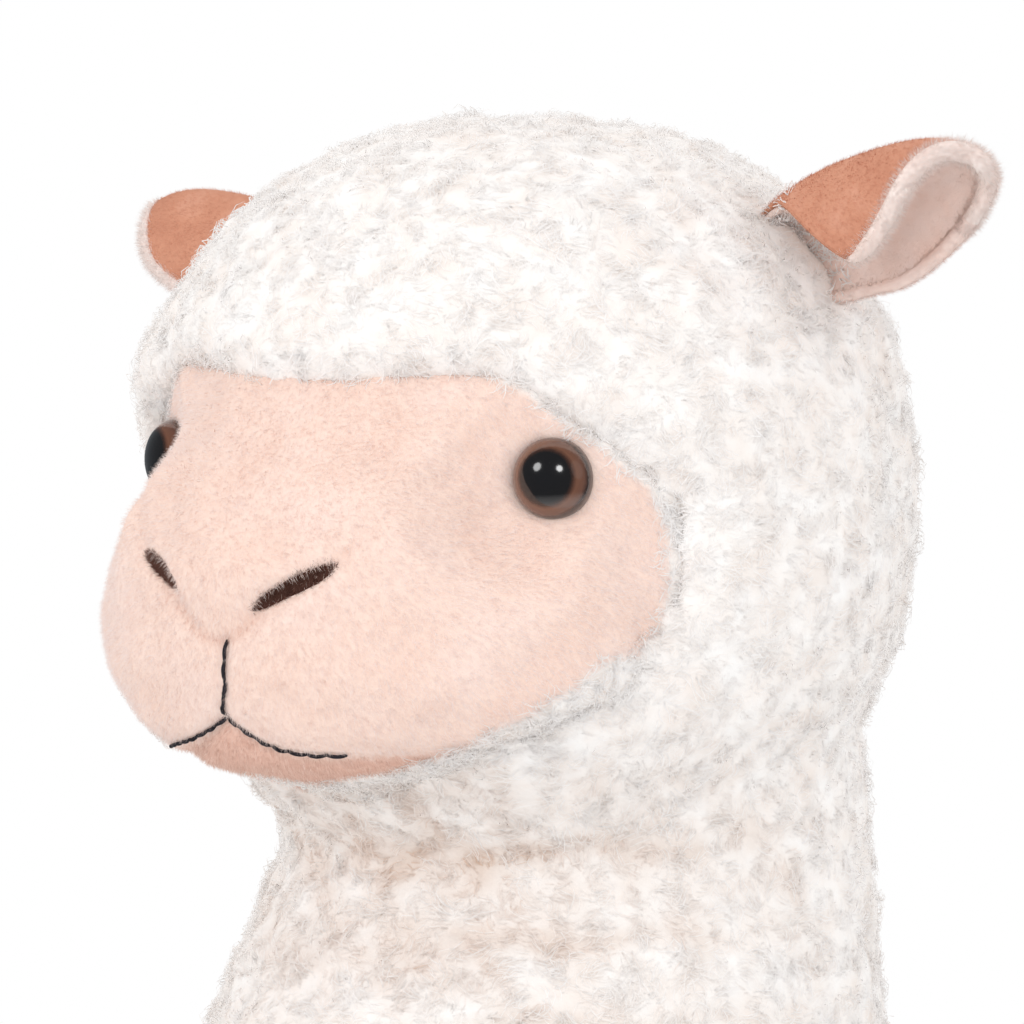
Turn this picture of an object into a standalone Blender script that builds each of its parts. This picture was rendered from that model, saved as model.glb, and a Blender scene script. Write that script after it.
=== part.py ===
"""Plush alpaca, standing on four legs, with a curly fleece coat and a short-pile face.

Metres, +Z up. The animal faces -Y and its left side is +X. The origin lies on the floor,
under the middle of the box around the whole toy.

The stuffed form is one smooth body. The coat is cut from a layer over that form, panel
by panel, and every panel stands SEAM_GAP off its neighbours and off the filling.
"""
import math

import bmesh
import bpy
from mathutils import Matrix, Vector
from mathutils.bvhtree import BVHTree

# Heights of the animal
EYE_HEIGHT = 0.420
BELLY_SEAM_HEIGHT = 0.092
ANKLE_HEIGHT = 0.034

# Cloth: fleece and face pile are measured with their pile
FLEECE = 0.0100
SHORT_PILE = 0.0027
SOLE_THICKNESS = 0.0030
SEAM_GAP = 0.0003

# Head form under the cloth, placed from the middle of the head at eye level
HEAD_HALF_WIDTH = 0.0812
HEAD_HALF_DEPTH = 0.0812
HEAD_HALF_HEIGHT = 0.0770
HEAD_CENTRE = (0.0, 0.002, -0.008)
HEAD_SQUARENESS = 2.35

# Muzzle, nose and bridge of the nose
MUZZLE_HALF_WIDTH = 0.0670
MUZZLE_HALF_DEPTH = 0.0530
MUZZLE_HALF_HEIGHT = 0.0368
MUZZLE_CENTRE = (0.0, -0.046, -0.0272)
MUZZLE_SQUARENESS = 3.2
NOSE_HALF_SIZE = (0.024, 0.016, 0.013)
NOSE_CENTRE = (0.0, -0.0885, -0.021)
BRIDGE_HALF_SIZE = (0.033, 0.017, 0.036)
BRIDGE_CENTRE = (0.0, -0.070, -0.002)
BRIDGE_LEAN = math.radians(-24)

# Neck sections under the cloth: height from eye level, y of the middle, half width, half depth
NECK_SECTIONS = [
    (-0.030, 0.012, 0.064, 0.064),
    (-0.061, 0.016, 0.0600, 0.0600),
    (-0.092, 0.022, 0.0590, 0.0590),
    (-0.130, 0.010, 0.0677, 0.0700),
    (-0.165, 0.012, 0.0740, 0.0780),
    (-0.205, 0.022, 0.0765, 0.0880),
    (-0.250, 0.034, 0.0730, 0.1080),
]

# Trunk, legs, feet and tail
TRUNK_HALF_SIZE = (0.078, 0.142, 0.066)
TRUNK_CENTRE_Y = 0.062
TRUNK_CENTRE_HEIGHT = 0.178
TRUNK_SQUARENESS = 2.4
LEG_RADIUS = 0.0215
LEG_SPREAD = 0.042
BELLY_HALF_WIDTH = 0.046
BELLY_HALF_LENGTH = 0.130
FRONT_LEG_SETBACK = 0.042
HIND_LEG_SETBACK = 0.044
FRONT_LEG_Y = TRUNK_CENTRE_Y - BELLY_HALF_LENGTH + FRONT_LEG_SETBACK
HIND_LEG_Y = TRUNK_CENTRE_Y + BELLY_HALF_LENGTH - HIND_LEG_SETBACK
FOOT_HALF_WIDTH = 0.0275
FOOT_HALF_LENGTH = 0.0310
FOOT_FORWARD = 0.004
FOOT_SQUARENESS = 2.6
TAIL_HALF_SIZE = (0.020, 0.022, 0.027)
TAIL_HEIGHT = 0.224
TAIL_LEAN = math.radians(-24)
TAIL_TUCK = 0.006
TAIL_SQUARENESS = 2.2

# Eyes: safety eyes with a dome, a stem and a locking washer
EYE_RADIUS = 0.0090
EYE_DOME = 0.0070
EYE_LIP = 0.0008
EYE_SPACING = 0.112
EYE_Y = -0.0555
EYE_TURN = math.radians(24)
EYE_TILT = math.radians(3)
EYE_SINK = 0.0008
EYE_HOLLOW_RADIUS = 0.030
STEM_RADIUS = 0.0022
STEM_LENGTH = 0.0080
WASHER_RADIUS = 0.0080
WASHER_THICKNESS = 0.0015

# Ears: roots and tips from the middle of the head at eye level. The right one sits lower.
# The rims are the angles, at root and tip, at which the bent leaf starts and ends.
EAR_ROOTS = {"left": (0.064, 0.011, 0.045), "right": (0.065, 0.011, 0.036)}
EAR_TIPS = {"left": (0.126, 0.010, 0.063), "right": (0.127, 0.010, 0.047)}
EAR_WIDTH = 0.0170
EAR_FLATNESS = 0.74
EAR_WIDEST_AT = 0.46
EAR_ROOT_NARROWING = 0.34
EAR_BLUNTNESS = 2.8
EAR_CLOSED_AT = 0.985
EAR_CLOTH = 0.0021
LINING_CLOTH = 0.0016
EAR_TIP_ROOM = 0.0012
EAR_SLOT_GAP = 0.0006
EAR_SLOT_SPREAD = math.radians(5)
EAR_FRONT_RIM = (math.radians(-58), math.radians(18))
EAR_BACK_RIM = (math.radians(240), math.radians(218))
EAR_STEPS = 9
EAR_ARC_STEPS = 11

# Face seams seen from the front: x and height from eye level, right half of the outline
FACE_OUTLINE = [
    (0.000, 0.0225), (0.028, 0.0230), (0.046, 0.0235), (0.055, 0.0205), (0.0650, 0.0120),
    (0.0710, 0.006), (0.0775, -0.003), (0.0795, -0.013), (0.0790, -0.023), (0.0765, -0.032),
    (0.0725, -0.040), (0.0670, -0.046), (0.0560, -0.0525), (0.0430, -0.0590), (0.0310, -0.0640),
    (0.0160, -0.0710), (0.000, -0.0740),
]
BRIDGE_OUTLINE = [
    (0.000, 0.060), (0.052, 0.060), (0.052, 0.020), (0.044, 0.008), (0.034, -0.010),
    (0.0265, -0.0195), (0.0130, -0.0275), (0.0060, -0.0335), (0.000, -0.0355),
]
CHIN_OUTLINE = [
    (0.000, -0.0520), (0.010, -0.0567), (0.024, -0.0594), (0.038, -0.0590), (0.050, -0.0560),
    (0.064, -0.0510), (0.064, -0.090), (0.000, -0.090),
]
NOSTRIL_OUTLINE = [
    (0.0290, -0.0172), (0.0255, -0.0165), (0.0195, -0.0188), (0.0135, -0.0232),
    (0.0112, -0.0268), (0.0128, -0.0290), (0.0180, -0.0272), (0.0245, -0.0222),
]
MOUTH_LINE = [
    (0.0000, -0.0523), (0.0050, -0.0550), (0.0110, -0.0572), (0.0180, -0.0588), (0.0240, -0.0593),
]
PHILTRUM_LINE = [(0.0000, -0.0362), (-0.0004, -0.0420), (-0.0002, -0.0475), (0.0000, -0.0512)]
THREAD_RADIUS = 0.0008
FACE_BACK_AT_EYES = -0.016
FACE_BACK_SLOPE = 0.46
NECK_SEAM_DROP = 0.066

# Fineness of the stuffed form
VOXEL = 0.0042
SMOOTH_STEPS = 8
COAT_SMOOTH_STEPS = 2
FORM_FACES = 1700
COAT_FACES = 1300
ELLIPSOID = 2.0
SHARPEST_CORNER = 0.4
MERGE_DISTANCE = 0.00002
FINE_MERGE_DISTANCE = 0.000002

# Reach of the cutters: FAR past the whole toy, OVERSHOOT past one small piece
FAR = 0.6
OVERSHOOT = 0.020


def clear_scene():
    for item in list(bpy.data.objects):
        bpy.data.objects.remove(item, do_unlink=True)


def new_collection(name):
    collection = bpy.data.collections.new(name)
    bpy.context.scene.collection.children.link(collection)
    return collection


clear_scene()
PARTS = new_collection("plush_alpaca")
CUTTERS = new_collection("cutters")


def material(name, colour, roughness):
    made = bpy.data.materials.new(name)
    made.use_nodes = True
    shader = made.node_tree.nodes["Principled BSDF"]
    shader.inputs["Base Color"].default_value = (*colour, 1.0)
    shader.inputs["Roughness"].default_value = roughness
    shader.inputs["Metallic"].default_value = 0.0
    made.diffuse_color = (*colour, 1.0)
    return made


FLEECE_CLOTH = material("cream_fleece", (0.89, 0.84, 0.79), 0.95)
FACE_CLOTH = material("peach_pile", (0.93, 0.72, 0.62), 0.90)
EAR_CLOTH_MATERIAL = material("terracotta_velour", (0.62, 0.28, 0.17), 0.85)
LINING_MATERIAL = material("pink_lining", (0.80, 0.56, 0.49), 0.90)
NOSTRIL_CLOTH = material("brown_pile", (0.15, 0.07, 0.05), 0.90)
THREAD_MATERIAL = material("dark_thread", (0.02, 0.02, 0.025), 0.80)
EYE_PLASTIC = material("eye_plastic", (0.05, 0.03, 0.02), 0.10)
WASHER_PLASTIC = material("washer_plastic", (0.80, 0.80, 0.80), 0.50)
FILLING_MATERIAL = material("white_filling", (0.95, 0.95, 0.94), 1.00)


def add_object(name, mesh, collection, finish=None):
    made = bpy.data.objects.new(name, mesh)
    collection.objects.link(made)
    if collection is CUTTERS:
        made.hide_render = True
        made.display_type = "WIRE"
    if finish is not None:
        made.data.materials.clear()
        made.data.materials.append(finish)
    return made


def remove(item):
    bpy.data.objects.remove(item, do_unlink=True)


def from_bmesh(name, shape, collection=None, finish=None):
    bmesh.ops.recalc_face_normals(shape, faces=shape.faces)
    mesh = bpy.data.meshes.new(name)
    shape.to_mesh(mesh)
    shape.free()
    return add_object(name, mesh, collection or CUTTERS, finish)


def baked(item):
    """Puts the result of an object's modifiers into its own mesh."""
    bpy.context.view_layer.update()
    graph = bpy.context.evaluated_depsgraph_get()
    mesh = bpy.data.meshes.new_from_object(item.evaluated_get(graph))
    item.modifiers.clear()
    item.data = mesh
    return item


def copied(item, name):
    twin = add_object(name, item.data.copy(), CUTTERS)
    twin.matrix_world = item.matrix_world.copy()
    return twin


def combined(item, other, operation, drop=False):
    """Boolean of two closed shapes, baked into the first one."""
    change = item.modifiers.new("join", "BOOLEAN")
    change.operation = operation
    change.solver = "EXACT"
    change.object = other
    baked(item)
    if drop:
        remove(other)
    return item


def grown(item, name, distance):
    """A copy of a smooth closed shape, moved out along its normals."""
    twin = copied(item, name)
    swell = twin.modifiers.new("swell", "DISPLACE")
    swell.strength = distance
    swell.mid_level = 0.0
    return baked(twin)


def mirrored(item, name, collection=None):
    """The same piece on the animal's other side."""
    shape = bmesh.new()
    shape.from_mesh(item.data)
    bmesh.ops.transform(shape, matrix=item.matrix_world, verts=shape.verts)
    bmesh.ops.scale(shape, vec=(-1, 1, 1), verts=shape.verts)
    bmesh.ops.reverse_faces(shape, faces=shape.faces)
    mesh = bpy.data.meshes.new(name)
    shape.to_mesh(mesh)
    shape.free()
    finish = item.data.materials[0] if item.data.materials else None
    return add_object(name, mesh, collection or PARTS, finish)


def at_eye_level(point):
    return Vector(point) + Vector((0.0, 0.0, EYE_HEIGHT))


def rounded_block(name, centre, half_size, squareness, lean=0.0, segments=48, rings=32):
    """A sphere pushed towards a box: squareness 2 is an ellipsoid, higher is boxier."""
    shape = bmesh.new()
    bmesh.ops.create_uvsphere(shape, u_segments=segments, v_segments=rings, radius=1.0)
    for vert in shape.verts:
        level = vert.co.z
        flat = math.hypot(vert.co.x, vert.co.y)
        length = (abs(level) ** squareness + flat ** squareness) ** (1.0 / squareness)
        vert.co /= length
    tilted = Matrix.Translation(centre) @ Matrix.Rotation(lean, 4, "X")
    place = tilted @ Matrix.Diagonal((*half_size, 1.0))
    bmesh.ops.transform(shape, matrix=place, verts=shape.verts)
    return from_bmesh(name, shape)


def ring(shape, height, middle_y, half_width, half_depth, segments):
    made = []
    for step in range(segments):
        turn = 2 * math.pi * step / segments
        x = half_width * math.cos(turn)
        y = middle_y + half_depth * math.sin(turn)
        made.append(shape.verts.new((x, y, height)))
    return made


def neck_form():
    """A loft through the neck's oval sections, closed at both ends."""
    segments = 40
    shape = bmesh.new()
    rings = []
    for level, middle_y, half_width, half_depth in NECK_SECTIONS:
        rings.append(ring(shape, EYE_HEIGHT + level, middle_y, half_width, half_depth, segments))
    for upper, lower in zip(rings, rings[1:]):
        for step in range(segments):
            after = (step + 1) % segments
            shape.faces.new((upper[step], upper[after], lower[after], lower[step]))
    shape.faces.new(rings[0])
    shape.faces.new(reversed(rings[-1]))
    return from_bmesh("neck_form", shape)


def column(name, x, y, radius, bottom, top, half_length=None, segments=32):
    shape = bmesh.new()
    bmesh.ops.create_cone(
        shape, cap_ends=True, segments=segments, radius1=radius, radius2=radius, depth=top - bottom)
    stretch = (half_length or radius) / radius
    bmesh.ops.scale(shape, vec=(1.0, stretch, 1.0), verts=shape.verts)
    bmesh.ops.translate(shape, vec=(x, y, (top + bottom) / 2), verts=shape.verts)
    return from_bmesh(name, shape)


def box(name, low, high):
    shape = bmesh.new()
    bmesh.ops.create_cube(shape, size=1.0)
    size = [b - a for a, b in zip(low, high)]
    middle = [(a + b) / 2 for a, b in zip(low, high)]
    bmesh.ops.scale(shape, vec=size, verts=shape.verts)
    bmesh.ops.translate(shape, vec=middle, verts=shape.verts)
    return from_bmesh(name, shape)


LEGS = [
    ("front_left", LEG_SPREAD, FRONT_LEG_Y),
    ("front_right", -LEG_SPREAD, FRONT_LEG_Y),
    ("hind_left", LEG_SPREAD, HIND_LEG_Y),
    ("hind_right", -LEG_SPREAD, HIND_LEG_Y),
]


def eye_frame():
    """Place of the left eye: Z of the frame is the direction in which the eye looks."""
    centre = at_eye_level((EYE_SPACING / 2, EYE_Y, 0.0))
    turn = Matrix.Rotation(EYE_TURN, 4, "Z")
    tilt = Matrix.Rotation(math.radians(90) - EYE_TILT, 4, "X")
    return Matrix.Translation(centre) @ turn @ tilt


def smoothed(item, steps):
    soften = item.modifiers.new("soften", "SMOOTH")
    soften.factor = 0.5
    soften.iterations = steps
    return baked(item)


def voxel_joined(item, size):
    remesh = item.modifiers.new("one_skin", "REMESH")
    remesh.mode = "VOXEL"
    remesh.voxel_size = size
    return baked(item)


def thinned(item, faces):
    """Fewer triangles, and the right half made the mirror of the left."""
    item.data.update()
    triangles = sum(len(face.vertices) - 2 for face in item.data.polygons)
    fewer = item.modifiers.new("fewer_faces", "DECIMATE")
    fewer.ratio = min(1.0, faces / triangles)
    fewer.use_collapse_triangulate = True
    baked(item)
    shape = bmesh.new()
    shape.from_mesh(item.data)
    everything = shape.verts[:] + shape.edges[:] + shape.faces[:]
    bmesh.ops.symmetrize(shape, input=everything, direction="X", dist=MERGE_DISTANCE)
    bmesh.ops.triangulate(shape, faces=shape.faces)
    bmesh.ops.recalc_face_normals(shape, faces=shape.faces)
    shape.to_mesh(item.data)
    shape.free()
    return item


def largest_body(item):
    """Drops the crumbs that a cut can leave beside a piece."""
    shape = bmesh.new()
    shape.from_mesh(item.data)
    bodies = []
    seen = set()
    for start in shape.verts:
        if start in seen:
            continue
        seen.add(start)
        body = [start]
        for vert in body:
            for edge in vert.link_edges:
                other = edge.other_vert(vert)
                if other not in seen:
                    seen.add(other)
                    body.append(other)
        bodies.append(body)
    bodies.sort(key=len, reverse=True)
    for crumb in bodies[1:]:
        bmesh.ops.delete(shape, geom=crumb, context="VERTS")
    shape.to_mesh(item.data)
    shape.free()
    return item


def face_forms():
    """Muzzle, nose and bridge, which stand out of the round head."""
    return [
        rounded_block("muzzle_form", at_eye_level(MUZZLE_CENTRE),
                      (MUZZLE_HALF_WIDTH, MUZZLE_HALF_DEPTH, MUZZLE_HALF_HEIGHT), MUZZLE_SQUARENESS),
        rounded_block("nose_form", at_eye_level(NOSE_CENTRE), NOSE_HALF_SIZE, ELLIPSOID),
        rounded_block("bridge_form", at_eye_level(BRIDGE_CENTRE), BRIDGE_HALF_SIZE,
                      ELLIPSOID, BRIDGE_LEAN),
    ]


def body_forms():
    """Round head, neck, trunk, legs and feet."""
    foot_bottom = SOLE_THICKNESS + SEAM_GAP
    pieces = [
        rounded_block("head_form", at_eye_level(HEAD_CENTRE),
                      (HEAD_HALF_WIDTH, HEAD_HALF_DEPTH, HEAD_HALF_HEIGHT), HEAD_SQUARENESS),
        neck_form(),
        rounded_block("trunk_form", (0.0, TRUNK_CENTRE_Y, TRUNK_CENTRE_HEIGHT),
                      TRUNK_HALF_SIZE, TRUNK_SQUARENESS),
    ]
    for name, x, y in LEGS:
        pieces.append(column(name + "_leg_form", x, y, LEG_RADIUS,
                             ANKLE_HEIGHT / 2, TRUNK_CENTRE_HEIGHT))
        foot_centre = (x, y - FOOT_FORWARD, foot_bottom)
        foot_size = (FOOT_HALF_WIDTH, FOOT_HALF_LENGTH, ANKLE_HEIGHT)
        pieces.append(rounded_block(name + "_foot_form", foot_centre, foot_size, FOOT_SQUARENESS))
    return pieces


def stuffed_form():
    """The closed body that the filling takes, with a shallow hollow under each eye."""
    form = one_skin(body_forms() + face_forms())
    left = rounded_block("hollow", (0, 0, 0), [EYE_HOLLOW_RADIUS] * 3, ELLIPSOID)
    lift = EYE_HOLLOW_RADIUS - EYE_SINK - SHORT_PILE
    left.data.transform(eye_frame() @ Matrix.Translation((0, 0, lift)))
    right = mirrored(left, "hollow_right", CUTTERS)
    combined(form, left, "DIFFERENCE", drop=True)
    combined(form, right, "DIFFERENCE", drop=True)
    voxel_joined(form, VOXEL)
    return smoothed(form, SMOOTH_STEPS)


def coat_form():
    """The outside of the fleece. It has no muzzle, so the face comes out of the coat."""
    form = smoothed(voxel_joined(one_skin(body_forms()), VOXEL), SMOOTH_STEPS)
    coat = grown(form, "coat_form", FLEECE + SEAM_GAP)
    remove(form)
    return smoothed(voxel_joined(coat, VOXEL), COAT_SMOOTH_STEPS)


def one_skin(pieces):
    """Joins the forms into one closed body."""
    form = pieces[0]
    for other in pieces[1:]:
        combined(form, other, "UNION", drop=True)
    return form


def with_flat_feet(item):
    floor = box("floor_cut", (-FAR, -FAR, SOLE_THICKNESS + SEAM_GAP), (FAR, FAR, FAR))
    return combined(item, floor, "INTERSECT", drop=True)


def prism(name, outline, low, high, direction="Y"):
    """A flat outline pushed out along one axis."""
    shape = bmesh.new()
    if direction == "Y":
        corners = [shape.verts.new((x, low, z)) for x, z in outline]
    else:
        corners = [shape.verts.new((x, y, low)) for x, y in outline]
    face = shape.faces.new(corners)
    made = bmesh.ops.extrude_face_region(shape, geom=[face])
    moved = [item for item in made["geom"] if isinstance(item, bmesh.types.BMVert)]
    step = (0, high - low, 0) if direction == "Y" else (0, 0, high - low)
    bmesh.ops.translate(shape, vec=step, verts=moved)
    bmesh.ops.triangulate(shape, faces=shape.faces)
    return from_bmesh(name, shape)


def whole_outline(half):
    """Both halves of an outline that is given for x of zero and more."""
    other = [(-x, z) for x, z in reversed(half) if x > 0]
    return [(x, z) for x, z in half] + other


def widened(outline, distance):
    """Moves an outline's corners outwards, or inwards where the distance is negative."""
    area = 0.0
    count = len(outline)
    for here in range(count):
        x1, y1 = outline[here]
        x2, y2 = outline[(here + 1) % count]
        area += x1 * y2 - x2 * y1
    side = 1.0 if area > 0 else -1.0
    moved = []
    for here in range(count):
        before = Vector(outline[here - 1])
        point = Vector(outline[here])
        after = Vector(outline[(here + 1) % count])
        first = (point - before).normalized()
        second = (after - point).normalized()
        normal_a = Vector((first.y, -first.x)) * side
        normal_b = Vector((second.y, -second.x)) * side
        middle = (normal_a + normal_b).normalized()
        reach = distance / max(SHARPEST_CORNER, middle.dot(normal_a))
        moved.append(tuple(point + middle * reach))
    return moved


def raised(outline):
    return [(x, EYE_HEIGHT + z) for x, z in outline]


def face_block(name, outline, margin):
    """The front-view outline as a block, sheared at its back so that it stops at the throat."""
    block = prism(name, widened(raised(outline), margin), -FAR, 0.0)
    for vert in block.data.vertices:
        if vert.co.y > -FAR / 2:
            vert.co.y = FACE_BACK_AT_EYES + FACE_BACK_SLOPE * (vert.co.z - EYE_HEIGHT) + margin
    block.data.update()
    return block


def half_space(name, side, margin):
    if side > 0:
        return box(name, (margin, -FAR, -FAR), (FAR, FAR, FAR))
    return box(name, (-FAR, -FAR, -FAR), (-margin, FAR, FAR))


def finish_piece(item, name, finish):
    """Moves a shape that was cut out of the coat into the parts."""
    for holder in list(item.users_collection):
        holder.objects.unlink(item)
    PARTS.objects.link(item)
    item.name = name
    item.hide_render = False
    item.display_type = "TEXTURED"
    item.data.materials.clear()
    item.data.materials.append(finish)
    largest_body(item)
    tidy = bmesh.new()
    tidy.from_mesh(item.data)
    bmesh.ops.remove_doubles(tidy, verts=tidy.verts, dist=FINE_MERGE_DISTANCE)
    bmesh.ops.triangulate(tidy, faces=tidy.faces)
    tidy.to_mesh(item.data)
    tidy.free()
    return item


def face_panels(face_shell):
    """Bridge, cheeks, chin and nostrils, cut from the layer of short pile."""
    half_gap = SEAM_GAP / 2
    bridge_line = raised(whole_outline(BRIDGE_OUTLINE))
    chin_line = raised(whole_outline(CHIN_OUTLINE))
    nostril_line = raised(NOSTRIL_OUTLINE)

    face_region = face_block("face_region", whole_outline(FACE_OUTLINE), -half_gap)
    combined(face_shell, face_region, "INTERSECT", drop=True)

    bridge = combined(copied(face_shell, "bridge_cut"),
                      prism("bridge_prism", widened(bridge_line, -half_gap), -FAR, 0), "INTERSECT", True)
    chin = combined(copied(face_shell, "chin_cut"),
                    prism("chin_prism", widened(chin_line, -half_gap), -FAR, 0), "INTERSECT", True)
    cheek = combined(face_shell, prism("bridge_prism", widened(bridge_line, half_gap), -FAR, 0),
                     "DIFFERENCE", True)
    combined(cheek, prism("chin_prism", widened(chin_line, half_gap), -FAR, 0), "DIFFERENCE", True)
    combined(cheek, half_space("left_half", 1, half_gap), "INTERSECT", True)

    nostril = prism("nostril_prism", widened(nostril_line, -half_gap), -FAR, 0)
    opening_left = prism("nostril_opening", widened(nostril_line, half_gap), -FAR, 0)
    opening_right = mirrored(opening_left, "nostril_opening_right", CUTTERS)
    return bridge, chin, cheek, nostril, opening_left, opening_right


def turned(name, profile, place, segments=20):
    """A turned piece: the profile runs down its outer side and is spun about the frame's Z."""
    mesh = bpy.data.meshes.new(name)
    points = [(radius, 0.0, height) for radius, height in profile]
    mesh.from_pydata(points, [(i, i + 1) for i in range(len(points) - 1)], [])
    item = add_object(name, mesh, CUTTERS)
    spin = item.modifiers.new("spin", "SCREW")
    spin.axis = "Z"
    spin.steps = segments
    spin.render_steps = segments
    spin.use_merge_vertices = True
    spin.merge_threshold = MERGE_DISTANCE
    baked(item)
    item.data.transform(place)
    shape = bmesh.new()
    shape.from_mesh(item.data)
    bmesh.ops.remove_doubles(shape, verts=shape.verts, dist=FINE_MERGE_DISTANCE)
    bmesh.ops.recalc_face_normals(shape, faces=shape.faces)
    shape.to_mesh(item.data)
    shape.free()
    return item


def eye_profile():
    dome_steps = 5
    points = []
    for step in range(dome_steps + 1):
        turn = math.pi / 2 * step / dome_steps
        height = EYE_LIP + (EYE_DOME - EYE_LIP) * math.cos(turn)
        points.append((EYE_RADIUS * math.sin(turn), height))
    points.append((EYE_RADIUS, 0.0))
    points.append((STEM_RADIUS, 0.0))
    points.append((STEM_RADIUS, -STEM_LENGTH))
    points.append((0.0, -STEM_LENGTH))
    return points


def disc(name, place, radius, low, high):
    return turned(name, [(0.0, high), (radius, high), (radius, low), (0.0, low)], place)


def washer_low():
    return -(SHORT_PILE + EYE_SINK + 3 * SEAM_GAP + WASHER_THICKNESS)


def washer(place):
    low = washer_low()
    top = low + WASHER_THICKNESS
    piece = disc("washer", place, WASHER_RADIUS, low, top)
    bore = disc("washer_bore", place, STEM_RADIUS + SEAM_GAP, low - OVERSHOOT, top + OVERSHOOT)
    return combined(piece, bore, "DIFFERENCE", True)


def ear_swell(along):
    """Width of the ear against its widest place: narrow at the root, blunt at the tip."""
    if along < EAR_WIDEST_AT:
        return 1.0 - EAR_ROOT_NARROWING * ((EAR_WIDEST_AT - along) / EAR_WIDEST_AT) ** 2
    beyond = (along - EAR_WIDEST_AT) / (1.0 - EAR_WIDEST_AT)
    return (1.0 - beyond ** EAR_BLUNTNESS) ** (1 / EAR_BLUNTNESS)


def ear_point(side, along, around, inset, spread=0.0):
    """A point of the ear's leaf. along runs from base to tip, around from front rim to back rim."""
    base = at_eye_level(EAR_ROOTS[side])
    tip = at_eye_level(EAR_TIPS[side])
    axis = (tip - base).normalized()
    up = (Vector((0, 0, 1)) - axis * axis.z).normalized()
    front = up.cross(axis)
    if front.y > 0:
        front = -front
    least = EAR_CLOTH + SEAM_GAP + LINING_CLOTH + EAR_TIP_ROOM
    radius = max(EAR_WIDTH * ear_swell(along), least) - inset
    front_end = EAR_FRONT_RIM[0] + (EAR_FRONT_RIM[1] - EAR_FRONT_RIM[0]) * along - spread
    back_end = EAR_BACK_RIM[0] + (EAR_BACK_RIM[1] - EAR_BACK_RIM[0]) * along + spread
    turn = front_end + (back_end - front_end) * around
    middle = base + axis * ((tip - base).length * along)
    return middle + front * (radius * EAR_FLATNESS * math.cos(turn)) + up * (radius * math.sin(turn))


def ear_leaf(side, name, outer_inset, thickness, spread=0.0):
    """A bent leaf of cloth of one thickness, closed all round."""
    shape = bmesh.new()
    sides = []
    for inset in (outer_inset, outer_inset + thickness):
        grid = []
        for i in range(EAR_STEPS + 1):
            along = EAR_CLOSED_AT * i / EAR_STEPS
            row = []
            for j in range(EAR_ARC_STEPS + 1):
                point = ear_point(side, along, j / EAR_ARC_STEPS, inset, spread)
                row.append(shape.verts.new(point))
            grid.append(row)
        sides.append(grid)
    outer, inner = sides
    for i in range(EAR_STEPS):
        for j in range(EAR_ARC_STEPS):
            shape.faces.new((outer[i][j], outer[i + 1][j], outer[i + 1][j + 1], outer[i][j + 1]))
            shape.faces.new((inner[i][j], inner[i][j + 1], inner[i + 1][j + 1], inner[i + 1][j]))
        for j in (0, EAR_ARC_STEPS):
            shape.faces.new((outer[i][j], inner[i][j], inner[i + 1][j], outer[i + 1][j]))
    for j in range(EAR_ARC_STEPS):
        for i in (0, EAR_STEPS):
            shape.faces.new((outer[i][j], outer[i][j + 1], inner[i][j + 1], inner[i][j]))
    return from_bmesh(name, shape)


def ear_pieces(side, lap):
    """One ear and its lining on the left side, with the slot that they take in the head cover."""
    ear = ear_leaf(side, "outer_cut_" + side, 0.0, EAR_CLOTH)
    lining = ear_leaf(side, "lining_cut_" + side, EAR_CLOTH + SEAM_GAP, LINING_CLOTH)
    for leaf in (ear, lining):
        combined(leaf, lap, "DIFFERENCE")
    whole_cloth = EAR_CLOTH + SEAM_GAP + LINING_CLOTH
    room = ear_leaf(side, "ear_room", -EAR_SLOT_GAP, whole_cloth + 2 * EAR_SLOT_GAP, EAR_SLOT_SPREAD)
    return room, ear, lining


def on_surface(tree, x, height):
    """Where a line along +Y meets the face, and the way that the face looks there."""
    start = Vector((x, -FAR, EYE_HEIGHT + height))
    return tree.ray_cast(start, Vector((0, 1, 0)))[:2]


def thread(name, tree, line, side=1):
    """A run of thread laid on the face along a front-view line."""
    curve = bpy.data.curves.new(name, "CURVE")
    curve.dimensions = "3D"
    curve.bevel_depth = THREAD_RADIUS
    curve.bevel_resolution = 1
    curve.use_fill_caps = True
    spline = curve.splines.new("POLY")
    points = []
    for first, second in zip(line, line[1:]):
        for part in (0.0, 0.5):
            points.append([first[k] + (second[k] - first[k]) * part for k in (0, 1)])
    points.append(list(line[-1]))
    spline.points.add(len(points) - 1)
    for place, (x, height) in zip(spline.points, points):
        spot, normal = on_surface(tree, side * x, height)
        lifted = spot + normal * (THREAD_RADIUS + 2 * SEAM_GAP)
        place.co = (*lifted, 1.0)
    holder = bpy.data.objects.new(name + "_curve", curve)
    CUTTERS.objects.link(holder)
    bpy.context.view_layer.update()
    mesh = bpy.data.meshes.new_from_object(holder.evaluated_get(bpy.context.evaluated_depsgraph_get()))
    remove(holder)
    shape = bmesh.new()
    shape.from_mesh(mesh)
    bmesh.ops.remove_doubles(shape, verts=shape.verts, dist=MERGE_DISTANCE)
    return from_bmesh(name, shape, PARTS, THREAD_MATERIAL)


def oval(x_middle, y_middle, half_width, half_length, steps=32):
    return [(x_middle + half_width * math.cos(2 * math.pi * i / steps),
             y_middle + half_length * math.sin(2 * math.pi * i / steps)) for i in range(steps)]


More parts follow.
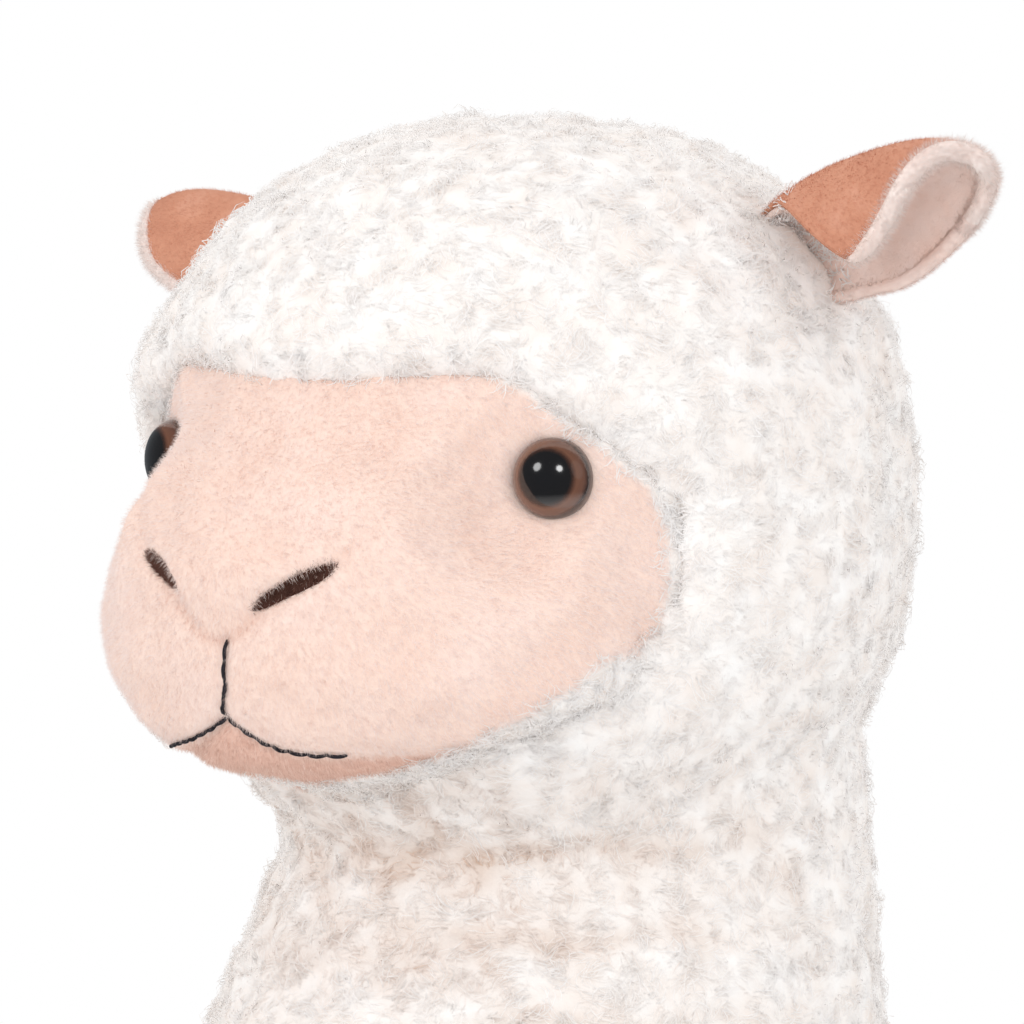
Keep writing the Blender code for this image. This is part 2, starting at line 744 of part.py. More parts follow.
def build():
    half_gap = SEAM_GAP / 2
    form = stuffed_form()
    coat = thinned(coat_form(), COAT_FACES)
    thinned(form, FORM_FACES)
    under_coat = grown(form, "under_coat", SEAM_GAP)
    pile_top = grown(form, "pile_top", SEAM_GAP + SHORT_PILE)
    lap = grown(form, "lap", 2 * SEAM_GAP)
    with_flat_feet(form)

    # Face
    place = eye_frame()
    face_shell = combined(copied(pile_top, "face_shell"), under_coat, "DIFFERENCE")
    nostril_shell = copied(face_shell, "nostril_shell")
    bridge, chin, cheek, nostril_prism, opening_left, opening_right = face_panels(face_shell)
    for opening in (opening_left, opening_right):
        combined(bridge, opening, "DIFFERENCE")
    combined(cheek, opening_left, "DIFFERENCE")
    nostril = combined(nostril_shell, nostril_prism, "INTERSECT", True)
    front_only = box("front_only", (0, -FAR, EYE_HEIGHT - FAR / 2), (FAR, MUZZLE_CENTRE[1], FAR))
    combined(nostril, front_only, "INTERSECT", True)

    # Left eye with its seat in the cheek and its pocket in the filling
    eye = turned("eye", eye_profile(), place)
    lock = washer(place)
    washer_floor = washer_low() - SEAM_GAP
    washer_roof = washer_low() + WASHER_THICKNESS + SEAM_GAP
    stem_room = STEM_RADIUS + SEAM_GAP
    washer_side = WASHER_RADIUS + SEAM_GAP
    seat = disc("eye_seat", place, EYE_RADIUS + SEAM_GAP, -SEAM_GAP, OVERSHOOT)
    stem_hole = disc("stem_hole", place, stem_room, -OVERSHOOT, OVERSHOOT)
    washer_room = disc("washer_room", place, washer_side, washer_floor, washer_roof)
    for cutter in (seat, stem_hole, washer_room):
        combined(cheek, cutter, "DIFFERENCE", True)
    stem_floor = -STEM_LENGTH - SEAM_GAP
    pocket_profile = [
        (0.0, OVERSHOOT), (washer_side, OVERSHOOT), (washer_side, washer_floor),
        (stem_room, washer_floor), (stem_room, stem_floor), (0.0, stem_floor),
    ]
    pocket = turned("eye_pocket", pocket_profile, place)
    other_pocket = mirrored(pocket, "other_pocket", CUTTERS)
    combined(form, pocket, "DIFFERENCE", True)
    combined(form, other_pocket, "DIFFERENCE", True)

    finish_piece(bridge, "face_bridge", FACE_CLOTH)
    finish_piece(chin, "chin_panel", FACE_CLOTH)
    finish_piece(cheek, "cheek_left", FACE_CLOTH)
    finish_piece(nostril, "nostril_left", NOSTRIL_CLOTH)
    finish_piece(eye, "eye_left", EYE_PLASTIC)
    finish_piece(lock, "eye_washer_left", WASHER_PLASTIC)
    finish_piece(form, "filling", FILLING_MATERIAL)

    # Mouth thread
    tree = BVHTree.FromObject(pile_top, bpy.context.evaluated_depsgraph_get())
    thread("philtrum_stitch", tree, PHILTRUM_LINE)
    gap_at_middle = THREAD_RADIUS + SEAM_GAP
    side_line = [(x + gap_at_middle, z) for x, z in MOUTH_LINE]
    thread("mouth_stitch_left", tree, side_line)
    thread("mouth_stitch_right", tree, side_line, -1)

    # Ears
    left_room, left_ear, left_lining = ear_pieces("left", lap)
    right_room, right_ear, right_lining = ear_pieces("right", lap)
    other_ear = mirrored(right_ear, "other_ear", CUTTERS)
    other_lining = mirrored(right_lining, "other_lining", CUTTERS)
    finish_piece(left_ear, "ear_outer_left", EAR_CLOTH_MATERIAL)
    finish_piece(left_lining, "ear_lining_left", LINING_MATERIAL)
    finish_piece(other_ear, "ear_outer_right", EAR_CLOTH_MATERIAL)
    finish_piece(other_lining, "ear_lining_right", LINING_MATERIAL)

    # Fleece covers
    fleece = combined(copied(coat, "fleece_shell"), under_coat, "DIFFERENCE")
    with_flat_feet(fleece)
    neck_seam = EYE_HEIGHT - NECK_SEAM_DROP
    face_room = face_block("face_room", whole_outline(FACE_OUTLINE), half_gap)
    head_box = box("head_box", (half_gap, -FAR, neck_seam + half_gap), (FAR, FAR, FAR))
    head = combined(copied(fleece, "head_cut"), head_box, "INTERSECT", True)
    combined(head, face_room, "DIFFERENCE")
    other_head = combined(copied(head, "other_head"), right_room, "DIFFERENCE", True)
    combined(head, left_room, "DIFFERENCE", True)
    finish_piece(head, "head_cover_left", FLEECE_CLOTH)
    finish_piece(mirrored(other_head, "other_side", CUTTERS), "head_cover_right", FLEECE_CLOTH)

    belly_line = oval(0.0, TRUNK_CENTRE_Y, BELLY_HALF_WIDTH, BELLY_HALF_LENGTH)
    belly_top = TRUNK_CENTRE_HEIGHT
    belly_low = BELLY_SEAM_HEIGHT + half_gap
    belly_room = prism("belly_room", widened(belly_line, half_gap), 0, belly_top, "Z")
    belly_prism = prism("belly_prism", widened(belly_line, -half_gap), 0, belly_top, "Z")
    side_box = box("side_box", (half_gap, -FAR, belly_low), (FAR, FAR, neck_seam - half_gap))
    belly_box = box("belly_box", (-FAR, -FAR, belly_low), (FAR, FAR, belly_top))
    side = combined(copied(fleece, "side_cut"), side_box, "INTERSECT", True)
    combined(side, face_room, "DIFFERENCE", True)
    combined(side, belly_room, "DIFFERENCE", True)
    finish_piece(side, "body_side_left", FLEECE_CLOTH)

    belly = combined(copied(fleece, "belly_cut"), belly_prism, "INTERSECT", True)
    combined(belly, belly_box, "INTERSECT", True)
    finish_piece(belly, "belly_panel", FLEECE_CLOTH)

    # Legs, feet and soles
    leg_room = (HIND_LEG_Y - FRONT_LEG_Y) / 2
    for name, x, y in LEGS:
        if x < 0:
            continue
        leg_low = (half_gap, y - leg_room, ANKLE_HEIGHT + half_gap)
        leg_high = (FAR, y + leg_room, BELLY_SEAM_HEIGHT - half_gap)
        leg_box = box("leg_box", leg_low, leg_high)
        leg = combined(copied(fleece, "leg_cut"), leg_box, "INTERSECT", True)
        finish_piece(leg, "leg_cover_" + name, FLEECE_CLOTH)
        foot_low = (half_gap, y - leg_room, SOLE_THICKNESS + SEAM_GAP)
        foot_high = (FAR, y + leg_room, ANKLE_HEIGHT - half_gap)
        foot_box = box("foot_box", foot_low, foot_high)
        foot = combined(copied(pile_top, "foot_cut"), under_coat, "DIFFERENCE")
        combined(foot, foot_box, "INTERSECT", True)
        finish_piece(foot, "foot_cover_" + name, FACE_CLOTH)
        sole = column("sole_cut", x, y - FOOT_FORWARD, FOOT_HALF_WIDTH,
                      0.0, SOLE_THICKNESS, FOOT_HALF_LENGTH)
        finish_piece(sole, "sole_" + name, FACE_CLOTH)

    # Tail
    tail_y = TRUNK_CENTRE_Y + TRUNK_HALF_SIZE[1] + FLEECE - TAIL_TUCK
    tail = rounded_block("tail_cut", (0.0, tail_y, TAIL_HEIGHT), TAIL_HALF_SIZE,
                         TAIL_SQUARENESS, TAIL_LEAN, segments=14, rings=9)
    combined(tail, grown(coat, "tail_seat", SEAM_GAP), "DIFFERENCE", True)
    finish_piece(tail, "tail", FLEECE_CLOTH)

    for piece in list(PARTS.objects):
        other = piece.name.replace("left", "right")
        if "left" in piece.name and other not in PARTS.objects:
            mirrored(piece, other)
    for piece in list(CUTTERS.objects):
        remove(piece)


def stand_on_origin():
    """Moves the whole toy so that the origin lies under the middle of its box."""
    bpy.context.view_layer.update()
    corners = []
    for piece in PARTS.objects:
        corners += [piece.matrix_world @ Vector(corner) for corner in piece.bound_box]
    middle = [(min(c[k] for c in corners) + max(c[k] for c in corners)) / 2 for k in (0, 1)]
    for piece in PARTS.objects:
        piece.location -= Vector((middle[0], middle[1], 0.0))


build()
stand_on_origin()
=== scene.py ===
"""Plush alpaca: fleece, short-pile face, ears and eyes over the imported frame."""
import math

import bmesh
import bpy
import numpy as np
from mathutils import Matrix, Vector
from mathutils.bvhtree import BVHTree


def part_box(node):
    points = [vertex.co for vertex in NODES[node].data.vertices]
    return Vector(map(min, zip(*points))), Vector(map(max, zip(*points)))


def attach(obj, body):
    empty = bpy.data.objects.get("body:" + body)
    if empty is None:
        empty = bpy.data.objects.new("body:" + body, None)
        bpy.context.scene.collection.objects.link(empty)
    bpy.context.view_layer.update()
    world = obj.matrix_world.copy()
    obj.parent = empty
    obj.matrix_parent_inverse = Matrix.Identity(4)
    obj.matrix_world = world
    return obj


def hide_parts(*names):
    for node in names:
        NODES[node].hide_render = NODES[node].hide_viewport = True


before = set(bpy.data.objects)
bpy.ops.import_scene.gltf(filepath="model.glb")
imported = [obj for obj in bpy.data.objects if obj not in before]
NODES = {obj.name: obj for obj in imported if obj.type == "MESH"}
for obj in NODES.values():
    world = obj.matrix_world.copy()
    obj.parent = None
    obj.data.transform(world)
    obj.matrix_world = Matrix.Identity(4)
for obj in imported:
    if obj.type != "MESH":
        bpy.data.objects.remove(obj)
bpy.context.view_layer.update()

MM = 0.001
RNG = np.random.default_rng(7)
SIDES = (("left", 1), ("right", -1))
FOOT_NAMES = ("front_left", "front_right", "hind_left", "hind_right")

# The middle of the head at eye level, placed from the left front foot
EYE_LEVEL = 0.420
FOOT_FROM_MIDDLE = 0.042
FOOT_AHEAD_OF_HEAD = 0.030
SOLE_LOW, SOLE_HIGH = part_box("sole_front_left")
HEAD = np.array([(SOLE_LOW.x + SOLE_HIGH.x) / 2 - FOOT_FROM_MIDDLE,
                 (SOLE_LOW.y + SOLE_HIGH.y) / 2 + FOOT_AHEAD_OF_HEAD, EYE_LEVEL])
ANKLE = 0.034

# Seams of the face from the front: x and height from eye level, right half
FACE_OUTLINE = [
    (0.000, 0.0225), (0.028, 0.0230), (0.046, 0.0235), (0.055, 0.0205), (0.0650, 0.0120),
    (0.0710, 0.006), (0.0775, -0.003), (0.0795, -0.013), (0.0790, -0.023), (0.0765, -0.032),
    (0.0725, -0.040), (0.0670, -0.046), (0.0560, -0.0525), (0.0430, -0.0590), (0.0310, -0.0640),
    (0.0160, -0.0710), (0.000, -0.0740),
]
BRIDGE_OUTLINE = [
    (0.000, 0.060), (0.052, 0.060), (0.052, 0.020), (0.044, 0.008), (0.034, -0.010),
    (0.0265, -0.0195), (0.0130, -0.0275), (0.0060, -0.0335), (0.000, -0.0355),
]
NOSTRIL_OUTLINES = {
    "left": [
        (0.0104, -0.0281), (0.0118, -0.0258), (0.0148, -0.0235), (0.0183, -0.0214), (0.0214, -0.0198),
        (0.0240, -0.0187), (0.0258, -0.0183), (0.0273, -0.0186), (0.0264, -0.0203), (0.0238, -0.0223),
        (0.0203, -0.0241), (0.0165, -0.0258), (0.0131, -0.0274),
    ],
    "right": [
        (0.0125, -0.0232), (0.0150, -0.0212), (0.0185, -0.0196), (0.0225, -0.0184), (0.0260, -0.0180),
        (0.0268, -0.0192), (0.0240, -0.0212), (0.0205, -0.0228), (0.0170, -0.0241), (0.0138, -0.0247),
    ],
}
MOUTH_LINES = {
    "left": [
        (-0.0036, -0.0525), (0.0002, -0.0548), (0.0041, -0.0573), (0.0101, -0.0592), (0.0161, -0.0600),
        (0.0237, -0.0598),
    ],
    "right": [
        (-0.0040, -0.0527), (-0.0094, -0.0555), (-0.0169, -0.0584), (-0.0250, -0.0603), (-0.0320, -0.0617),
        (-0.0345, -0.0622),
    ],
}
MOUTH_SEAM = [
    (-0.0520, -0.0575), (-0.0440, -0.0605), *MOUTH_LINES["right"][4:0:-1], (-0.0038, -0.0526),
    *MOUTH_LINES["left"][1:], (0.0360, -0.0592), (0.0500, -0.0560), (0.0600, -0.0520),
]
PHILTRUM_LINE = [(0.0021, -0.0352), (0.0013, -0.0408), (0.0003, -0.0464), (-0.0030, -0.0522)]

# Where the fleece ends over the face, right half: it overlaps the seam at the cheeks
FLEECE_EDGE = [
    (0.000, 0.0220), (0.016, 0.0216), (0.026, 0.0228), (0.036, 0.0238), (0.0450, 0.0218),
    (0.0510, 0.0187), (0.0577, 0.0118), (0.0652, 0.0055), (0.0708, -0.0025), (0.0731, -0.0136),
    (0.0730, -0.0224), (0.0711, -0.0312), (0.0690, -0.0385), (0.0665, -0.0440), (0.0600, -0.0500),
    (0.0471, -0.0570), (0.0362, -0.0612), (0.0244, -0.0645), (0.0150, -0.0662), (0.0070, -0.0676),
    (0.000, -0.0690),
]
FACE_BACK_AT_EYES = -0.016
FACE_BACK_SLOPE = 0.46
BARE_CHIN_BELOW = -0.062
BARE_CHIN_TO = -0.014

EYE_RADIUS = 0.0090
EYE_DOME = 0.0070
EYE_LIP = 0.0008
EYE_PLACE = (0.056, -0.0555)
EYE_TURN = math.radians(24)
EYE_TILT = math.radians(3)

EAR_ROOTS = {"left": (0.064, 0.011, 0.045), "right": (0.065, 0.011, 0.036)}
EAR_TIPS = {"left": (0.126, 0.010, 0.063), "right": (0.127, 0.010, 0.047)}
EAR_WIDTH = 0.0170
EAR_FLATNESS = 0.74
EAR_WIDEST_AT = 0.46
EAR_ROOT_NARROWING = 0.34
EAR_TIP_POWER = 2.8
EAR_TIP_AT = 0.96

# Skins: fineness, and how the coat sinks under its pile and runs out towards the face
COAT_VOXEL = 3.0 * MM
TAIL_VOXEL = 2.5 * MM
FOOT_VOXEL = 2.2 * MM
FACE_VOXEL = 1.7 * MM
COAT_SINK = 1.2 * MM
EDGE_HEIGHT = 2.2 * MM
EDGE_RUN = 10 * MM
EDGE_RUN_AT_SIDES = 6 * MM
FULLER_AT_SIDE = 3.0 * MM

# Neck: centre and reach of the painted shade on the throat as x and height, and folds as height, slope, half
# width in mm, reach
THROAT_SHADE_AT = (0.005, 0.328)
THROAT_SHADE_REACH = (0.060, 0.030)
NECK_FOLDS = ((0.333, 0.10, 2.6, 0.040), (0.318, -0.06, 2.0, 0.030), (0.296, 0.05, 1.8, 0.035))
FOLDS_FROM_MIDDLE = 0.035

# Strands: the finer fleece of the head and the coarser one of the body meet at the neck
HEAD_FLEECE_FROM = 0.285
BODY_FLEECE_TO = 0.287
MOST_STRANDS = 38000
LEVEL_SHARE = 0.6
CURL_LIFTS = (1.0, 0.25, -0.75)
CURL_TAPER = (0.9, 1.0, 0.85, 0.0)
NORMAL_SOFTNESS = 0.9

# Nostril pads and stitches
PAD_CORNERS = 40
PAD_RINGS = (1.12, 1.0, 0.85, 0.65, 0.4)
PAD_HEIGHT = 0.14 * MM
PAD_TUCK = 0.25 * MM
STITCH_PITCH = 4.2 * MM
STITCH_RADIUS = 0.46 * MM
STITCH_OVERLAP = 0.12

# Camera: degrees round and above level, how far off, where it aims beside the head, and the
# width that it sees there
CAMERA_AZIMUTH = 40
CAMERA_ELEVATION = 4
CAMERA_DISTANCE = 1.5
CAMERA_AIM = (0.00184, 0.012742)
VIEW_WIDTH = 0.23552
FLOOR_RADIUS = 0.95
LIGHTS_AIM = Vector((0, -0.03, 0.30))


# Small helpers for arrays and meshes
def unit(vectors):
    return vectors / np.maximum(np.linalg.norm(vectors, axis=-1, keepdims=True), 1e-12)


def dot(a, b):
    return (a * b).sum(-1, keepdims=True)


def mesh_object(name, verts, faces, finish, smooth=True):
    mesh = bpy.data.meshes.new(name)
    mesh.from_pydata(np.asarray(verts).tolist(), [], [list(map(int, f)) for f in faces])
    mesh.update()
    if smooth:
        mesh.shade_smooth()
    made = bpy.data.objects.new(name, mesh)
    bpy.context.scene.collection.objects.link(made)
    mesh.materials.append(finish)
    return made


def coordinates(mesh):
    flat = np.empty(len(mesh.vertices) * 3)
    mesh.vertices.foreach_get("co", flat)
    return flat.reshape(-1, 3)


def set_coordinates(mesh, points):
    mesh.vertices.foreach_set("co", np.ascontiguousarray(points, np.float32).ravel())
    mesh.update()


def set_share(mesh, name, values):
    """Gives each vertex a number that a material reads by that name."""
    mesh.attributes.new(name, "FLOAT", "POINT").data.foreach_set("value", values.astype(np.float32))


def vertex_normals(mesh):
    flat = np.empty(len(mesh.vertices) * 3)
    mesh.vertex_normals.foreach_get("vector", flat)
    return flat.reshape(-1, 3)


def triangles(mesh):
    mesh.calc_loop_triangles()
    flat = np.empty(len(mesh.loop_triangles) * 3, np.int32)
    mesh.loop_triangles.foreach_get("vertices", flat)
    return flat.reshape(-1, 3)


def joined(meshes):
    """Corners and faces of several meshes taken as one."""
    verts, faces, start = [], [], 0
    for mesh in meshes:
        verts.append(coordinates(mesh))
        faces.extend([[v + start for v in face.vertices] for face in mesh.polygons])
        start += len(mesh.vertices)
    return np.vstack(verts), faces


def bands(rings, around, start=0):
    """Faces between rings of corners that follow each other."""
    faces = []
    for i in range(rings - 1):
        for k in range(around):
            a, b = start + i * around + k, start + i * around + (k + 1) % around
            faces.append((a, b, b + around, a + around))
    return faces


def bake(made):
    """Turns a piece's modifiers into its mesh."""
    graph = bpy.context.evaluated_depsgraph_get()
    mesh = bpy.data.meshes.new_from_object(made.evaluated_get(graph))
    made.modifiers.clear()
    made.data = mesh


def waves(points, size, seed):
    """Smooth noise between about -1 and 1, with features of the given size."""
    rng = np.random.default_rng(seed)
    total = np.zeros(len(points))
    for _ in range(6):
        way = unit(rng.normal(size=3)) * (2 * math.pi / size) * rng.uniform(0.6, 1.5)
        total += np.sin(points @ way + rng.uniform(0, 6.28))
    return total / 2.6


def bell(distance, width):
    """1 at no distance, falling off smoothly over the width."""
    return np.exp(-(distance / width) ** 2)


def edge_gap(p, a, b):
    """Distance of each point from the straight edge between two corners."""
    along = np.clip(((p - a) @ (b - a)) / max((b - a) @ (b - a), 1e-12), 0, 1)
    return np.linalg.norm(p - a - along[:, None] * (b - a), axis=1)


def outline_distance(x, z, outline):
    """Signed distance to a closed outline in the front view: negative inside."""
    p = np.stack([x, z], -1)
    best = np.full(len(p), np.inf)
    inside = np.zeros(len(p), bool)
    corners = np.array(outline)
    for a, b in zip(corners, np.roll(corners, -1, axis=0)):
        best = np.minimum(best, edge_gap(p, a, b))
        crosses = (a[1] > p[:, 1]) != (b[1] > p[:, 1])
        climb = (b[1] - a[1]) if b[1] != a[1] else 1e-12
        edge_x = a[0] + (p[:, 1] - a[1]) * (b[0] - a[0]) / climb
        inside ^= crosses & (p[:, 0] < edge_x)
    return np.where(inside, -best, best)


def line_distance(x, z, line):
    """Distance to an open line in the front view."""
    p = np.stack([x, z], -1)
    corners = np.array(line)
    return np.min([edge_gap(p, a, b) for a, b in zip(corners, corners[1:])], axis=0)


def closed(half):
    """The whole outline from its right half, mirrored."""
    return list(half) + [(-x, z) for x, z in reversed(half) if x > 0]


def nostril_distance(x, z):
    """Signed distance to the nearer nostril's outline: negative inside."""
    left = outline_distance(x, z, NOSTRIL_OUTLINES["left"])
    return np.minimum(left, outline_distance(-x, z, NOSTRIL_OUTLINES["right"]))


def front_view(points):
    """Where points lie from the front: x from the middle and height from eye level."""
    return points[:, 0] - HEAD[0], points[:, 2] - EYE_LEVEL


def face_depth(points):
    """How far a point lies inside the face's region: positive inside, in metres."""
    x, z = front_view(points)
    back = FACE_BACK_AT_EYES + FACE_BACK_SLOPE * z
    return np.minimum(-outline_distance(x, z, closed(FACE_OUTLINE)), back - (points[:, 1] - HEAD[1]))


def fleece_depth(points):
    """How far a point lies inside the edge of the fleece: positive on the bare face."""
    x, z = front_view(points)
    depth = -outline_distance(x, z, closed(FLEECE_EDGE))
    bare_chin = (z < BARE_CHIN_BELOW) & (x < BARE_CHIN_TO)
    return np.where(bare_chin, np.maximum(depth, 5 * MM), depth)


# Materials
def new_material(name):
    made = bpy.data.materials.new(name)
    made.use_nodes = True
    tree = made.node_tree
    return made, tree, tree.nodes["Principled BSDF"]


def node(tree, kind, inputs=None, **settings):
    made = tree.nodes.new(kind)
    for key, value in settings.items():
        setattr(made, key, value)
    for key, value in (inputs or {}).items():
        if isinstance(value, bpy.types.NodeSocket):
            tree.links.new(value, made.inputs[key])
        else:
            made.inputs[key].default_value = value
    return made


def linear(red, green, blue):
    """Linear colour of an sRGB one given as 0 to 255."""
    out = []
    for value in (red, green, blue):
        v = value / 255
        out.append(v / 12.92 if v <= 0.04045 else ((v + 0.055) / 1.055) ** 2.4)
    return (*out, 1.0)


def ramp(tree, factor, stops):
    made = node(tree, "ShaderNodeValToRGB", {"Fac": factor})
    band = made.color_ramp
    while len(band.elements) < len(stops):
        band.elements.new(0.5)
    for element, (place, colour) in zip(band.elements, stops):
        element.position = place
        element.color = colour
    return made.outputs["Color"]


def noise(tree, scale, detail=3.0, rough=0.55):
    where = node(tree, "ShaderNodeTexCoord")
    made = node(tree, "ShaderNodeTexNoise",
                {"Vector": where.outputs["Object"], "Scale": scale, "Detail": detail, "Roughness": rough})
    return made.outputs["Fac"]


def stops(colours, low=0.0, high=1.0):
    """Evenly spaced stops of a ramp, from sRGB colours."""
    step = (high - low) / (len(colours) - 1)
    return [(low + step * i, linear(*colour)) for i, colour in enumerate(colours)]


def mixed_shader(tree, share, first, second):
    return node(tree, "ShaderNodeMixShader", {0: share, 1: first, 2: second}).outputs["Shader"]


def cloth(name, colours, scale, bump_scale, bump, roughness=0.95):
    """Cloth whose colour wanders between the given sRGB colours, with a fine bump."""
    made, tree, shader = new_material(name)
    tree.links.new(ramp(tree, noise(tree, scale), stops(colours, 0.32, 0.68)), shader.inputs["Base Color"])
    height = node(tree, "ShaderNodeBump", {"Strength": bump, "Distance": 0.0006,
                                           "Height": noise(tree, bump_scale, 4.0, 0.7)})
    tree.links.new(height.outputs["Normal"], shader.inputs["Normal"])
    shader.inputs["Roughness"].default_value = roughness
    shader.inputs["Specular IOR Level"].default_value = 0.15
    return made


def shaded_cloth(name, colours, shade, scale, bump_scale, bump):
    """Cloth that darkens to painted shade by its mesh's "shade" and turns to fleece colour by its "cover"."""
    made = cloth(name, colours, scale, bump_scale, bump)
    tree = made.node_tree
    base = tree.nodes["Principled BSDF"].inputs["Base Color"]
    colour = base.links[0].from_socket
    lighter = [c + 6 for c in shade]
    dark = ramp(tree, noise(tree, scale), stops([shade, lighter], 0.35, 0.65))
    white = ramp(tree, noise(tree, 110), stops([(247, 239, 233), (254, 252, 250)], 0.32, 0.68))
    for label, other in (("shade", dark), ("cover", white)):
        share = node(tree, "ShaderNodeAttribute", attribute_name=label)
        mixed = node(tree, "ShaderNodeMix", {0: share.outputs["Fac"], 6: colour, 7: other}, data_type="RGBA")
        colour = mixed.outputs[2]
    tree.links.new(colour, base)
    return made


def fibre(name, colours, through=0.0):
    """Pile: each strand carries a tint from 0 to 1 that picks its colour; some light comes through."""
    made, tree, shader = new_material(name)
    tint = node(tree, "ShaderNodeAttribute", attribute_name="tint")
    colour = ramp(tree, tint.outputs["Fac"], stops(colours))
    tree.links.new(colour, shader.inputs["Base Color"])
    shader.inputs["Roughness"].default_value = 0.8
    shader.inputs["Specular IOR Level"].default_value = 0.12
    if through:
        glow = node(tree, "ShaderNodeBsdfTranslucent", {"Color": colour})
        both = mixed_shader(tree, through, shader.outputs["BSDF"], glow.outputs["BSDF"])
        tree.links.new(both, tree.nodes["Material Output"].inputs["Surface"])
    return made


# Its darker colour is painted shade in the neck folds and on the throat under the head
FLEECE_BASE = shaded_cloth("fleece_base", [(248, 241, 236), (252, 248, 245), (254, 253, 252)],
                           (222, 203, 190), 110, 420, 0.40)
# Its darkest stop tints strands with painted shade in the neck folds and on the throat
FLEECE_PILE = fibre("fleece_pile", [(226, 202, 184), (246, 236, 230), (252, 249, 247), (255, 254, 254)],
                    through=0.35)
PEACH = [(248, 220, 206), (251, 226, 213), (252, 229, 218)]
# Its darker colour is painted shade on the chin, partly the chin's own darker pile, and in the nose seam
FACE_BASE = shaded_cloth("face_base", PEACH, (228, 188, 171), 60, 1500, 0.35)
FOOT_BASE = cloth("foot_base", PEACH, 60, 1500, 0.35)
# Its darkest stops tint the chin's nap, partly its own darker pile and partly painted shade, and the nose
# seam's painted shade
FACE_PILE = fibre("face_pile", [(212, 168, 150), (238, 202, 186), (250, 225, 214), (252, 232, 225),
                                (254, 241, 238)])
EAR_BASE = cloth("ear_base", [(206, 144, 118), (214, 153, 126), (221, 163, 138)], 90, 1400, 0.4)
EAR_PILE = fibre("ear_pile", [(208, 147, 120), (217, 158, 131), (227, 171, 146)], through=0.2)
# Its darker colour is painted shade in the hollow under the ear's front rim
LINING_BASE = shaded_cloth("lining_base", [(247, 221, 210), (250, 229, 220), (252, 234, 227)],
                           (226, 176, 152), 90, 1400, 0.4)
LINING_PILE = fibre("lining_pile", [(247, 221, 211), (252, 234, 227), (255, 244, 240)])
RIM_BASE = cloth("rim_base", [(253, 236, 229), (255, 242, 236), (255, 247, 243)], 90, 1400, 0.4)
RIM_PILE = fibre("rim_pile", [(254, 234, 226), (255, 243, 238), (255, 251, 249)], through=0.4)
NOSTRIL_BASE = cloth("nostril_base", [(62, 34, 28), (84, 52, 44), (104, 70, 60)], 400, 1800, 0.6)
NOSTRIL_PILE = fibre("nostril_pile", [(64, 38, 32), (104, 70, 60), (150, 112, 100)])
THREAD = cloth("dark_thread", [(30, 28, 32), (44, 42, 48), (60, 58, 64)], 900, 2500, 0.7, roughness=0.75)


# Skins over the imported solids
def skin(name, nodes, voxel, steps, finish):
    """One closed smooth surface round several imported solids."""
    made = mesh_object(name, *joined([NODES[n].data for n in nodes]), finish)
    weld = made.modifiers.new("weld", "WELD")
    weld.merge_threshold = 0.000005
    remesh = made.modifiers.new("one_skin", "REMESH")
    remesh.mode = "VOXEL"
    remesh.voxel_size = voxel
    soften = made.modifiers.new("soften", "SMOOTH")
    soften.iterations = steps
    bake(made)
    return made


def keep_faces(made, wanted):
    """Keeps the quads whose corners are all wanted, and of those the largest body."""
    mesh = made.data
    points = coordinates(mesh)
    corners = np.empty(len(mesh.loops), np.int32)
    mesh.loops.foreach_get("vertex_index", corners)
    faces = corners.reshape(-1, 4)
    faces = faces[wanted[faces].all(1)]
    label, before = np.arange(len(points)), None
    while before is None or (label != before).any():
        before = label.copy()
        np.minimum.at(label, faces.ravel(), np.repeat(label[faces].min(1), 4))
        label = label[label]
    body = label[faces[:, 0]]
    faces = faces[body == np.bincount(body).argmax()]
    used = np.unique(faces)
    renumber = np.full(len(points), -1)
    renumber[used] = np.arange(len(used))
    finish = mesh.materials[0]
    fresh = bpy.data.meshes.new(made.name)
    fresh.from_pydata(points[used].tolist(), [], renumber[faces].tolist())
    fresh.update()
    fresh.shade_smooth()
    fresh.materials.append(finish)
    made.data = fresh


def sampled(mesh, count):
    """Random spots on a mesh, with their normals, and the mesh's area."""
    tri = triangles(mesh)
    points, normals = coordinates(mesh), vertex_normals(mesh)
    a, b, c = (points[tri[:, i]] for i in range(3))
    area = np.linalg.norm(np.cross(b - a, c - a), axis=1) / 2
    pick = RNG.choice(len(tri), count, p=area / area.sum())
    u, v = RNG.random(count), RNG.random(count)
    flip = u + v > 1
    u[flip], v[flip] = 1 - u[flip], 1 - v[flip]
    w = 1 - u - v
    shares = ((w, 0), (u, 1), (v, 2))
    spot = sum(s[:, None] * points[tri[pick, i]] for s, i in shares)
    way = unit(sum(s[:, None] * normals[tri[pick, i]] for s, i in shares))
    return spot, way, area.sum()


def even_spots(mesh, spacing):
    """Spots spread over a surface with about one in every cell of the spacing."""
    area = sampled(mesh, 10)[2]
    spot, way, _ = sampled(mesh, int(area / spacing ** 2 * 2.6))
    cells = np.floor((spot + 1.0) / (spacing * 1.12)).astype(np.int64)
    _, first = np.unique(cells @ np.array([1, 10007, 100000007]), return_index=True)
    return spot[first], way[first]


def frame_at(normals):
    """Level and downhill directions along the surface."""
    level = np.cross(normals, [0, 0, 1.0])
    thin = np.linalg.norm(level, axis=1) < 0.05
    level[thin] = [1.0, 0, 0]
    level = unit(level - normals * dot(level, normals))
    return level, np.cross(normals, level)


